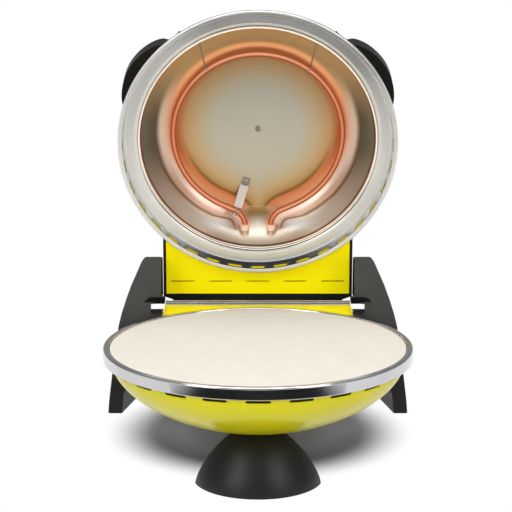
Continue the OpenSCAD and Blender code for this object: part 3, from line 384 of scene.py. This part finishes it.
def makePiece(name, bm, body, nodes, slot, matrix, sharp=35):
    bmesh.ops.transform(bm, matrix=matrix, verts=bm.verts)
    for face in bm.faces:
        face.smooth = True
    for edge in bm.edges:
        edge.smooth = len(edge.link_faces) != 2 or edge.calc_face_angle() < math.radians(sharp)
    mesh = bpy.data.meshes.new(name)
    bm.to_mesh(mesh)
    bm.free()
    for custom in ("custom_normal", "custom_normals"):  # left over from a CAD mesh, wrong once edges break
        if custom in mesh.attributes:
            mesh.attributes.remove(mesh.attributes[custom])
    mesh.materials.clear()
    mesh.materials.append(materials[slot])
    piece = bpy.data.objects.new(name, mesh)
    scene.collection.objects.link(piece)
    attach(piece, body)
    if nodes:
        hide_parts(*nodes)
    return piece


def lathe(profile, steps):
    bm = bmesh.new()
    verts = [bm.verts.new((r, 0, z)) for r, z in profile]
    edges = [bm.edges.new(pair) for pair in zip(verts, verts[1:])]
    bmesh.ops.spin(
        bm,
        geom=verts + edges,
        axis=(0, 0, 1),
        cent=(0, 0, 0),
        angle=math.tau,
        steps=steps,
        use_merge=True,
    )
    bmesh.ops.remove_doubles(bm, verts=bm.verts, dist=merge)
    bmesh.ops.recalc_face_normals(bm, faces=bm.faces)
    outermost = max(bm.faces, key=lambda f: f.calc_center_median().xy.length)
    if outermost.normal.xy.dot(outermost.calc_center_median().xy) < 0:
        bmesh.ops.reverse_faces(bm, faces=bm.faces)
    return bm


def arc(centre, radius, start, end, steps):
    angles = [math.radians(start + (end - start) * i / steps) for i in range(steps + 1)]
    return [(centre[0] + radius * math.cos(a), centre[1] + radius * math.sin(a)) for a in angles]


def curvePoint(radius, height, power, angle):
    # Point of a rounded outline, fuller than an ellipse above a power of 2
    c, s = max(math.cos(angle), 0), max(math.sin(angle), 0)
    return radius * c ** (2 / power), height * s ** (2 / power)


def smooth(value, low, high):
    share = min(max((value - low) / (high - low), 0), 1)
    return share * share * (3 - 2 * share)


def slotOffset(co, slots):
    # Angle from the nearest slot's middle, and that slot's number
    angle = math.atan2(co.y, co.x) - slots["first"]
    angle -= math.tau * math.floor(angle / math.tau)
    if math.tau - angle < slots["pitch"]:
        return angle - math.tau, 0
    index = min(round(angle / slots["pitch"]), slots["count"] - 1)
    return angle - index * slots["pitch"], index


def perforate(bm, slots):
    # The two rows of vertices at the slots' edges are moved to the slots' round-ended outline
    half, middle, column = slots["height"] / 2, slots["z"], slots["column"]
    span = slots["length"] / 2 / slots["radiusAt"](middle)
    inside = []
    for face in bm.faces:
        if all(abs(v.co.z - middle) < half + merge for v in face.verts):
            offset, index = slotOffset(face.calc_center_median(), slots)
            if abs(offset) < span + column / 2:
                inside.append(face)
    for vert in bm.verts:
        if abs(abs(vert.co.z - middle) - half) > merge:
            continue
        offset, index = slotOffset(vert.co, slots)
        if abs(offset) >= span + column - 1e-9:
            continue
        side = 1 if vert.co.z > middle else -1
        along = max(span - abs(offset), 0) * slots["radiusAt"](middle)
        rise = half if along >= half else math.sqrt(max(half**2 - (half - along) ** 2, 0))
        if abs(offset) > span:
            offset = math.copysign(span, offset)
        z = middle + side * rise
        r = slots["radiusAt"](z)
        angle = slots["first"] + index * slots["pitch"] + offset
        vert.co = (r * math.cos(angle), r * math.sin(angle), z)
    bmesh.ops.delete(bm, geom=inside, context="FACES")
    bmesh.ops.remove_doubles(bm, verts=bm.verts, dist=merge)


def thicken(piece, thickness):
    solid = piece.modifiers.new("Sheet", "SOLIDIFY")
    solid.thickness = thickness
    solid.offset = -1


# Bowl with its row of vent slots
bowl = {
    "radius": 0.154, "depth": 0.075, "power": 1.8, "top": 0.1176, "bottom": 0.048, "flat": 0.02,
    "sheet": 0.001, "slotZ": 0.1131, "slotLength": 0.025, "slotHeight": 0.0028, "slots": 15,
    "pitch": math.radians(16), "rows": 56, "closestRows": 0.0006, "columns": 720, "sharp": 25,
}


def bowlRadius(z):
    share = (bowl["top"] - z) / bowl["depth"]
    return bowl["radius"] * max(1 - share ** bowl["power"], 0) ** (1 / bowl["power"])


lowest = math.asin(((bowl["top"] - bowl["bottom"]) / bowl["depth"]) ** (bowl["power"] / 2))
slotEdges = [bowl["slotZ"] + side * bowl["slotHeight"] / 2 for side in (1, -1)]
rows = []
for i in range(bowl["rows"] + 1):
    fall = curvePoint(bowl["radius"], bowl["depth"], bowl["power"], lowest * i / bowl["rows"])[1]
    z = bowl["top"] - fall
    inSlot = slotEdges[1] < z < slotEdges[0]
    if not inSlot and all(abs(z - edge) > bowl["closestRows"] for edge in slotEdges):
        rows.append(z)
outline = [(bowlRadius(z), z) for z in sorted(rows + slotEdges, reverse=True)]
bm = lathe(outline + [(bowl["flat"], bowl["bottom"]), (0, bowl["bottom"])], bowl["columns"])
perforate(bm, {
    "z": bowl["slotZ"], "height": bowl["slotHeight"], "length": bowl["slotLength"], "count": bowl["slots"],
    "pitch": bowl["pitch"], "first": -math.pi / 2 - bowl["pitch"] * (bowl["slots"] - 1) / 2,
    "column": math.tau / bowl["columns"], "radiusAt": bowlRadius,
})
bowlPiece = makePiece("bowlShell", bm, "base", ["bowl_shell"], "yellow_enamel", onBase, bowl["sharp"])
thicken(bowlPiece, bowl["sheet"])
bowlPiece.data.materials[0] = bowlEnamel
bowlPiece.visible_diffuse = False  # keeps its yellow off the paper below

# Chrome ring, rolled over at the top and curled in at the bottom, with the stone's seat inside
ring = {
    "outer": 0.162, "top": 0.130, "bottom": 0.1174, "roll": 0.0021, "inner": 0.1556, "innerRoll": 0.0014,
    "curl": 0.0006, "curlFrom": -80, "curlIn": 0.0002, "aboveCurl": 0.0003, "belowRoll": 0.0004,
    "curlSteps": 4, "rollSteps": 14, "innerSteps": 8,
    "seat": 0.1189, "seatInner": 0.149, "sheet": 0.001, "columns": 360, "sharp": 50,
}
curlAt = ring["outer"] - ring["curl"], ring["bottom"] + ring["curl"]
rollAt = ring["outer"] - ring["roll"], ring["top"] - ring["roll"]
innerAt = ring["inner"] + ring["innerRoll"], ring["top"] - ring["innerRoll"]
profile = (
    [(curlAt[0], ring["bottom"] - ring["curlIn"])]
    + arc(curlAt, ring["curl"], ring["curlFrom"], 0, ring["curlSteps"])
    + [(ring["outer"], curlAt[1] + ring["aboveCurl"]), (ring["outer"], rollAt[1] - ring["belowRoll"])]
    + arc(rollAt, ring["roll"], 0, 90, ring["rollSteps"])
    + arc(innerAt, ring["innerRoll"], 90, 180, ring["innerSteps"])
    + [(ring["inner"], ring["seat"]), (ring["seatInner"], ring["seat"])]
)
bm = lathe(profile, ring["columns"])
ringPiece = makePiece("baseRimRing", bm, "base", ["base_rim_ring"], "chrome_steel", onBase, ring["sharp"])
thicken(ringPiece, ring["sheet"])

# Stone with a small round at its edge
stone = {
    "radius": 0.155, "top": 0.1292, "bottom": 0.1192, "round": 0.0012, "roundSteps": 5, "columns": 240,
    "sharp": 50,
}
edge = stone["radius"] - stone["round"]
profile = (
    [(0, stone["bottom"])]
    + arc((edge, stone["bottom"] + stone["round"]), stone["round"], -90, 0, stone["roundSteps"])
    + arc((edge, stone["top"] - stone["round"]), stone["round"], 0, 90, stone["roundSteps"])
    + [(0, stone["top"])]
)
bm = lathe(profile, stone["columns"])
makePiece("bakingStone", bm, "base", ["baking_stone"], "cordierite_stone", onBase, stone["sharp"])
print("base pressings and stone made")

# Lid's lip, slotted band and flange from one pressing, with z counted inwards from the lid's front
lip = {
    "outer": 0.1584, "edge": 0.004, "bead": 0.0014, "inner": 0.1533, "innerRound": 0.0006, "bandTop": 0.1514,
    "backRound": 0.0009, "depth": 0.015, "flangeRows": [0.1465, 0.1415], "mouth": 0.1364, "sheet": 0.0008,
    "slotZ": 0.0052, "slotLength": 0.017, "slotHeight": 0.0054, "slots": 36, "backRows": [0.0115, 0.0142],
    "beadSteps": 8, "innerTo": -150, "innerSteps": 3, "backFrom": 10, "backSteps": 4, "columns": 720,
    "sharp": 40,
}


def bandRadius(z):
    return lip["inner"] + (lip["bandTop"] - lip["inner"]) * z / lip["depth"]


slotEdges = [lip["slotZ"] + side * lip["slotHeight"] / 2 for side in (-1, 1)]
beadAt = lip["outer"] - lip["bead"], lip["bead"]
innerAt = lip["inner"] + lip["innerRound"], lip["innerRound"]
backAt = lip["bandTop"] - lip["backRound"], lip["depth"] - lip["backRound"]
profile = (
    [(lip["outer"], lip["edge"])]
    + arc(beadAt, lip["bead"], 0, -90, lip["beadSteps"])
    + arc(innerAt, lip["innerRound"], -90, lip["innerTo"], lip["innerSteps"])
    + [(bandRadius(z), z) for z in [lip["innerRound"]] + slotEdges + lip["backRows"]]
    + arc(backAt, lip["backRound"], lip["backFrom"], 90, lip["backSteps"])
    + [(r, lip["depth"]) for r in lip["flangeRows"] + [lip["mouth"]]]
)
bm = lathe(profile, lip["columns"])
perforate(bm, {
    "z": lip["slotZ"], "height": lip["slotHeight"], "length": lip["slotLength"], "count": lip["slots"],
    "pitch": math.tau / lip["slots"], "first": -math.pi / 2, "column": math.tau / lip["columns"],
    "radiusAt": bandRadius,
})

# The open lid's flange is lit by the stone at its bottom and sides, and the band there lies in shade
lipLight = {
    "bandFrom": 0.0005, "bandBack": 0.0003, "bandOver": 0.0004, "shade": (0.55, 0.97),
    "bottom": (0.3, 0.9), "left": (0.3, 0.75), "leftShare": 0.9, "right": (0.75, 0.98), "rightShare": 0.7,
}
inShade, litByStone = [bm.verts.layers.float.new(n) for n in ("inShade", "litByStone")]
for vert in bm.verts:
    out = vert.co.xy.length
    aside, low = vert.co.xy / out
    deep = lipLight["bandFrom"] < vert.co.z < lip["depth"] - lipLight["bandBack"]
    onBand = deep and out < lip["inner"] + lipLight["bandOver"]
    brightest = max(
        smooth(low, *lipLight["bottom"]),
        lipLight["leftShare"] * smooth(-aside, *lipLight["left"]),
        lipLight["rightShare"] * smooth(aside, *lipLight["right"]),
    )
    vert[inShade] = smooth(low, *lipLight["shade"]) if onBand else 0
    vert[litByStone] = 0 if onBand else brightest
lipPiece = makePiece("lidRimRing", bm, "lid", ["lid_rim_ring"], "satin_stainless", onLid, lip["sharp"])
thicken(lipPiece, lip["sheet"])

# Yellow dome over the reflector, with a hole for the spindle
dome = {
    "radius": 0.1553, "base": 0.0032, "rise": 0.0748, "power": 2.1, "sheet": 0.001, "spindle": 0.004,
    "round": 0.002, "rows": 64, "columns": 300, "sharp": 40,
}
outline = []
for i in range(dome["rows"]):
    r, z = curvePoint(dome["radius"], dome["rise"], dome["power"], math.pi / 2 * i / dome["rows"])
    if r > dome["spindle"] + dome["round"]:
        outline.append((r, z + dome["base"]))
outline.append((dome["spindle"], dome["rise"] + dome["base"]))
bm = lathe(outline, dome["columns"])
domePiece = makePiece("lidDome", bm, "lid", ["lid_dome"], "yellow_enamel", onLid, dome["sharp"])
thicken(domePiece, dome["sheet"])

# Upper element's route, a ring with its ends led out side by side
element = {
    "ring": 0.097, "z": 0.037, "radius": 0.00325, "gap": math.radians(25), "bend": 0.022, "endX": 0.015,
    "endY": 0.1335, "straights": (0.01, 0.004), "bendSteps": 20, "ringSteps": 220, "resolution": 6,
    "coldY": 0.122, "coldFade": 0.001,
}


def heaterPath():
    gap, bend, ends = element["gap"], element["bend"], element["endX"]
    run = (element["ring"] * math.sin(gap) - ends - bend * (1 - math.sin(gap))) / math.cos(gap)
    start = element["ring"] * Vector((-math.sin(gap), math.cos(gap)))
    heading = Vector((math.cos(gap), math.sin(gap)))
    centre = start + run * heading + bend * Vector((-math.sin(gap), math.cos(gap)))
    left = [Vector((-ends, y)) for y in [element["endY"]] + [centre.y + s for s in element["straights"]]]
    for i in range(element["bendSteps"] + 1):
        a = (gap - math.pi / 2) * i / element["bendSteps"]
        left.append(centre + bend * Vector((math.cos(a), math.sin(a))))
    left.append(start + heading * run / 2)
    middle = []
    for i in range(element["ringSteps"] + 1):
        a = math.pi / 2 + gap + (math.tau - 2 * gap) * i / element["ringSteps"]
        middle.append(element["ring"] * Vector((math.cos(a), math.sin(a))))
    right = [Vector((-p.x, p.y)) for p in reversed(left)]
    return [Vector((p.x, p.y, element["z"])) for p in left + middle + right]


upperPath = heaterPath()

# Reflector dish: a rolled bead at the mouth, a round wall and a flat floor with the bolt's hole
dish = {
    "mouth": 0.136, "mouthZ": 0.015, "floorRadius": 0.100, "depth": 0.056, "power": 1.45, "sheet": 0.0008,
    "bead": 0.0011, "beadIn": 0.001, "beadFront": 0.0002, "beadFrom": 20, "beadTo": -165, "wallIn": 0.0006,
    "boltHole": 0.0027, "beadSteps": 14, "wallSteps": 44, "floorSteps": 34, "columns": 300, "sharp": 30,
}
wallWidth = dish["mouth"] - dish["wallIn"] - dish["floorRadius"]
wall = []
for i in range(1, dish["wallSteps"] + 1):
    angle = math.pi / 2 * i / dish["wallSteps"]
    r, z = curvePoint(wallWidth, dish["depth"] - dish["mouthZ"], dish["power"], angle)
    wall.append((dish["floorRadius"] + r, dish["mouthZ"] + z))
floor = [
    (dish["floorRadius"] * (1 - i / dish["floorSteps"]), dish["depth"]) for i in range(1, dish["floorSteps"])
]
beadAt = dish["mouth"] - dish["beadIn"], dish["mouthZ"] - dish["beadFront"]
bead = arc(beadAt, dish["bead"], dish["beadFrom"], dish["beadTo"], dish["beadSteps"])
bm = lathe(bead + wall + floor + [(dish["boltHole"], dish["depth"])], dish["columns"])

# Where the dish takes its painted glow, reflections, highlight and shade, by distance from the element's hot
# length and by place in the dish
heat = {
    "spacing": 0.002, "hotY": 0.125, "reach": 0.045,  # reach is where the tint has run out
    "tailOut": 0.007, "tail": (0.104, 0.122), "tailStretch": 0.8,  # the tint narrows along the element's ends
    "wallFade": 0.004, "side": (0.1, 0.75), "beadLip": 0.0001, "beadShade": (0.0006, 0.0011),
    "crease": (0.0006, 0.0014), "floorEdgeShadeX": (0.008, 0.02), "floorEdgeShadeIn": (0.097, 0.0995),
    "floorEdgeShadeOut": (0.104, 0.118), "calm": (0.114, 0.123),
}
hot = []
for start, end in zip(upperPath, upperPath[1:]):
    parts = math.ceil((end - start).length / heat["spacing"])
    hot += [start.lerp(end, i / parts).xy for i in range(parts)]
hot = [p for p in hot if p.y < heat["hotY"]]
crease = beadAt[0] - dish["bead"]
toneOf = {name: bm.verts.layers.float.new(name) for name in dishTones}
for vert in bm.verts:
    flat = vert.co.xy
    out = flat.length
    outside = smooth(abs(flat.x), element["endX"], element["endX"] + heat["tailOut"])
    stretch = 1 + heat["tailStretch"] * outside * smooth(flat.y, *heat["tail"])
    nearest = min((flat - p).length for p in hot) * stretch
    onWall = smooth(out, element["ring"], element["ring"] + heat["wallFade"])
    upper = smooth(-flat.y / out, *heat["side"])
    lower = smooth(flat.y / out, *heat["side"])
    # Painted highlight on the bead at the mouth, fading on its lower side, where the bead is also made less
    # metallic
    bright = 1 if out > crease + heat["beadLip"] else 0
    beadHighlight = bright * (1 - lower * smooth(out - crease, *heat["beadShade"]))
    # Painted shade in the crease at the mouth
    creaseShade = 1 - beadHighlight if bright else 1 - smooth(crease - out, *heat["crease"])
    # Painted shade on the lower wall by the floor's edge, between the element's ends
    floorEdgeShade = smooth(flat.y, *heat["floorEdgeShadeIn"]) * (1 - smooth(flat.y, *heat["floorEdgeShadeOut"]))
    tones = {
        "fromElement": min(max(nearest - element["radius"], 0) / heat["reach"], 1),
        "onWall": onWall,
        "upperSide": upper,
        "lowerSide": lower,
        "beadHighlight": beadHighlight,
        "creaseShade": creaseShade,
        "floorEdgeShade": floorEdgeShade * (1 - smooth(abs(flat.x), *heat["floorEdgeShadeX"])),
        "calm": smooth(flat.y, *heat["calm"]),
        "mirrored": lower * (1 - onWall) + upper * onWall,
    }
    for name, tone in tones.items():
        vert[toneOf[name]] = tone
slot = "polished_stainless"
reflector = makePiece("lidReflector", bm, "lid", ["lid_reflector"], slot, onLid, dish["sharp"])
thicken(reflector, dish["sheet"])
print("lid pressings made")

# The element's tube, from a curve along its path
curve = bpy.data.curves.new("heaterPath", "CURVE")
curve.dimensions = "3D"
curve.bevel_depth = element["radius"]
curve.bevel_resolution = element["resolution"]
curve.use_fill_caps = True
spline = curve.splines.new("POLY")
spline.points.add(len(upperPath) - 1)
for point, place in zip(spline.points, upperPath):
    point.co = (*place, 1)
holder = bpy.data.objects.new("heaterPath", curve)
scene.collection.objects.link(holder)
tubeMesh = bpy.data.meshes.new_from_object(holder.evaluated_get(bpy.context.evaluated_depsgraph_get()))
bpy.data.objects.remove(holder)
bm = bmesh.new()
bm.from_mesh(tubeMesh)
bpy.data.meshes.remove(tubeMesh)
bmesh.ops.recalc_face_normals(bm, faces=bm.faces)
cold = bm.verts.layers.float.new("cold")
for vert in bm.verts:
    vert[cold] = smooth(vert.co.y, element["coldY"], element["coldY"] + element["coldFade"])
makePiece("upperHeatingElement", bm, "lid", ["upper_heating_element"], "hot_element", onLid)
print("element bent")

# Moulded and pressed parts keep their CAD shape, with their sharp edges broken by this much
moulded = {
    "front_foot": ("base", "black_plastic", 0.0012),
    "left_leg": ("base", "black_plastic", 0.0012),
    "right_leg": ("base", "black_plastic", 0.0012),
    "rear_deck": ("base", "yellow_enamel", 0.0008),
    "deck_trim": ("base", "chrome_steel", 0.0002),
    "rear_box_housing": ("lid", "black_plastic", 0.0008),
    "rear_box_panel": ("lid", "yellow_enamel", 0),
    "rear_box_cover": ("lid", "yellow_enamel", 0.0006),
    "left_handle": ("lid", "gloss_black_plastic", 0.0014),
    "right_handle": ("lid", "gloss_black_plastic", 0.0014),
    "knob_hub": ("lid", "gloss_black_plastic", 0.0006),
    "thermostat_knob": ("knob", "gloss_black_plastic", 0.0008),
}
ownFinish = {"rear_box_panel": satinEnamel, "left_leg": legMoulding, "right_leg": legMoulding}
breaking = {"merge": 2e-6, "flatTo": math.radians(0.5), "from": math.radians(40), "segments": 2}
# The ledge's front faces are painted dark as painted shade
ledge = {"low": 0.1255, "high": 0.1355, "facing": 0.2}  # front faces of the legs' ledge, which stay dark


def softened(node, body, slot, width):
    bm = bmesh.new()
    bm.from_mesh(frame["nodes"][node].data)
    bmesh.ops.remove_doubles(bm, verts=bm.verts, dist=breaking["merge"])
    bmesh.ops.dissolve_limit(
        bm, angle_limit=breaking["flatTo"], verts=bm.verts, edges=bm.edges, delimit={"NORMAL"}
    )
    # Painted shade on the front faces of the legs' ledge
    if ownFinish.get(node) is legMoulding:
        ledgeShade = bm.faces.layers.float.new("ledgeShade")
        for face in bm.faces:
            level = ledge["low"] < face.calc_center_median().z < ledge["high"]
            face[ledgeShade] = 1 if level and face.normal.y < -ledge["facing"] else 0
    name = "".join(w.capitalize() if i else w for i, w in enumerate(node.split("_")))
    piece = makePiece(name, bm, body, [node], slot, Matrix.Identity(4))
    if width:
        bevel = piece.modifiers.new("Broken edges", "BEVEL")
        bevel.width = width
        bevel.segments = breaking["segments"]
        bevel.limit_method = "ANGLE"
        bevel.angle_limit = breaking["from"]
        bevel.harden_normals = True
    if node in ownFinish:
        piece.data.materials[0] = ownFinish[node]


for node, (body, slot, width) in moulded.items():
    softened(node, body, slot, width)
print("moulded parts softened")

# Printed scale on the dial, a mark for each tenth of the knob's turn
scale = {
    "inner": 0.0245, "shortInner": 0.0275, "outer": 0.0305, "width": 0.0011, "low": 0.08855, "high": 0.08875,
    "marks": 11, "turn": math.radians(270),
}
bm = bmesh.new()
for i in range(scale["marks"]):
    inner = scale["shortInner"] if i % 2 else scale["inner"]
    place = (
        Matrix.Rotation(-math.pi / 2 - scale["turn"] * i / (scale["marks"] - 1), 4, "Z")
        @ Matrix.Translation(((inner + scale["outer"]) / 2, 0, (scale["low"] + scale["high"]) / 2))
        @ Matrix.Diagonal((scale["outer"] - inner, scale["width"], scale["high"] - scale["low"], 1))
    )
    bmesh.ops.create_cube(bm, size=1, matrix=place)
makePiece("dialMarks", bm, "lid", [], "gloss_black_plastic", onLid)
print("dial printed")


# Studio


def addSheet(name, width, depth, middle, material):
    bm = bmesh.new()
    bmesh.ops.create_grid(bm, x_segments=1, y_segments=1, size=0.5)
    place = Matrix.Translation(middle) @ Matrix.Diagonal((width, depth, 1, 1))
    bmesh.ops.transform(bm, matrix=place, verts=bm.verts)
    mesh = bpy.data.meshes.new(name)
    bm.to_mesh(mesh)
    bm.free()
    mesh.materials.append(material)
    sheet = bpy.data.objects.new(name, mesh)
    scene.collection.objects.link(sheet)
    return sheet


# White paper that fades to the white behind it, with tones of grey where the oven's shadow falls
paper = {
    "size": 6, "fade": (0.112, 0.176), "shadowMiddle": (0, 0.046, 0), "tone": (0.075, 0.115),
    "middle": "#AAAAAA", "outer": "#8E8E8E", "bounce": "#BCBCBC",
}
whitePaper, tree, output = newMaterial("White table paper")
place = addNode(tree, "ShaderNodeTexCoord").outputs["Object"]
apart = {0: place, 1: paper["shadowMiddle"]}
away = addNode(tree, "ShaderNodeVectorMath", apart, operation="DISTANCE").outputs["Value"]
faded, ringed = [
    addNode(
        tree,
        "ShaderNodeMapRange",
        {"Value": away, "From Min": paper[name][0], "From Max": paper[name][1]},
        interpolation_type="SMOOTHSTEP",
    ).outputs["Result"]
    for name in ("fade", "tone")
]
scattered = addNode(tree, "ShaderNodeLightPath").outputs["Is Diffuse Ray"]
seen = addNode(tree, "ShaderNodeMath", {0: 1.0, 1: scattered}, operation="SUBTRACT").outputs[0]
shaded = layTints(tree, paper["middle"], [(ringed, paper["outer"])])
tone = layTints(tree, paper["bounce"], [(seen, shaded)])
matt = addNode(tree, "ShaderNodeBsdfDiffuse", {"Color": tone})
bright = addNode(tree, "ShaderNodeEmission", {"Color": "#FFFFFF", "Strength": 1.0})
beyond = addNode(tree, "ShaderNodeMath", {0: faded, 1: seen}, operation="MULTIPLY")
shaders = {0: beyond.outputs[0], 1: matt.outputs["BSDF"], 2: bright.outputs["Emission"]}
mixed = addNode(tree, "ShaderNodeMixShader", shaders)
tree.links.new(mixed.outputs["Shader"], output.inputs["Surface"])
table = addSheet("table", paper["size"], paper["size"], (0, 0, 0), whitePaper)

# Dark card lying in front of the ring, seen only in reflections and thinning out to its sides
card = {
    "near": -0.36, "far": -0.8, "width": 1.2, "height": 0.0012, "color": "#191919", "solidTo": 0.36,
    "clearFrom": 0.52,
}
blackCard, tree, output = newMaterial("Black card")
place = addNode(tree, "ShaderNodeTexCoord").outputs["Object"]
across = addNode(tree, "ShaderNodeSeparateXYZ", {0: place}).outputs["X"]
aside = addNode(tree, "ShaderNodeMath", {0: across}, operation="ABSOLUTE").outputs[0]
span = {"Value": aside, "From Min": card["solidTo"], "From Max": card["clearFrom"]}
thin = addNode(tree, "ShaderNodeMapRange", span).outputs["Result"]
matt = addNode(tree, "ShaderNodeBsdfDiffuse", {"Color": card["color"]})
clear = addNode(tree, "ShaderNodeBsdfTransparent")
mixed = addNode(tree, "ShaderNodeMixShader", {0: thin, 1: matt.outputs["BSDF"], 2: clear.outputs["BSDF"]})
tree.links.new(mixed.outputs["Shader"], output.inputs["Surface"])
cardMiddle = (0, (card["near"] + card["far"]) / 2, card["height"])
darkCard = addSheet("darkCard", card["width"], card["near"] - card["far"], cardMiddle, blackCard)
darkCard.visible_camera = False
darkCard.visible_diffuse = False
darkCard.visible_shadow = False

# Grey surroundings for the reflections, brighter below and overhead, and plain white for the camera
around = {
    "strength": 0.8,
    "stops": [(0.0, "#FFFFFF"), (0.48, "#E6E6E6"), (0.56, "#B4B4B6"), (0.72, "#8E8E90"), (0.9, "#D8D8D8")],
}
world = bpy.data.worlds.new("Studio")
scene.world = world
world.use_nodes = True
tree = world.node_tree
tree.nodes.clear()
output = addNode(tree, "ShaderNodeOutputWorld")
direction = addNode(tree, "ShaderNodeTexCoord").outputs["Generated"]
height = addNode(tree, "ShaderNodeSeparateXYZ", {0: direction}).outputs["Z"]
raised = addNode(tree, "ShaderNodeMapRange", {"Value": height, "From Min": -1, "From Max": 1})
level = {"Fac": raised.outputs["Result"]}
sky = addNode(tree, "ShaderNodeValToRGB", level, around["stops"]).outputs["Color"]
lit = addNode(tree, "ShaderNodeBackground", {"Color": sky, "Strength": around["strength"]})
plain = addNode(tree, "ShaderNodeBackground", {"Color": "#FFFFFF", "Strength": 1.0})
toCamera = addNode(tree, "ShaderNodeLightPath").outputs["Is Camera Ray"]
shaders = {0: toCamera, 1: lit.outputs["Background"], 2: plain.outputs["Background"]}
chosen = addNode(tree, "ShaderNodeMixShader", shaders)
tree.links.new(chosen.outputs["Shader"], output.inputs["Surface"])

# Softboxes, of which the fill is kept out of the reflections
softboxes = {
    "overhead": {"place": (0, -0.1, 1.9), "target": (0, 0, 0.1), "size": (1.6, 1.4), "watts": 26},
    "frontLeft": {"place": (-1.3, -1.5, 1.2), "target": (0, 0.05, 0.2), "size": (0.8, 1.2), "watts": 14},
    "frontRight": {"place": (1.3, -1.5, 1.2), "target": (0, 0.05, 0.2), "size": (0.8, 1.2), "watts": 12},
    "frontFill": {"place": (0, -2.6, 0.75), "target": (0, 0.1, 0.15), "size": (1.4, 0.4), "watts": 30},
}
for name, box in softboxes.items():
    light = bpy.data.lights.new(name, "AREA")
    light.shape = "RECTANGLE"
    light.size, light.size_y = box["size"]
    light.energy = box["watts"]
    lamp = bpy.data.objects.new(name, light)
    scene.collection.objects.link(lamp)
    lamp.location = box["place"]
    aim = Vector(box["target"]) - Vector(box["place"])
    lamp.rotation_euler = aim.to_track_quat("-Z", "Y").to_euler()
    lamp.visible_glossy = name != "frontFill"

# Camera where a fit to the photograph's ring, lid and feet puts it
shot = {"place": (-0.0021, -1.79997, 0.599), "down": 12.17, "lens": 120.7, "sensor": 36, "clip": (0.05, 30)}
camera = bpy.data.cameras.new("camera")
camera.sensor_width = shot["sensor"]
camera.lens = shot["lens"]
camera.clip_start, camera.clip_end = shot["clip"]
viewer = bpy.data.objects.new("camera", camera)
scene.collection.objects.link(viewer)
viewer.location = shot["place"]
viewer.rotation_euler = (math.radians(90 - shot["down"]), 0, 0)
scene.camera = viewer
scene.view_settings.view_transform = "Standard"

print("camera and studio ready")
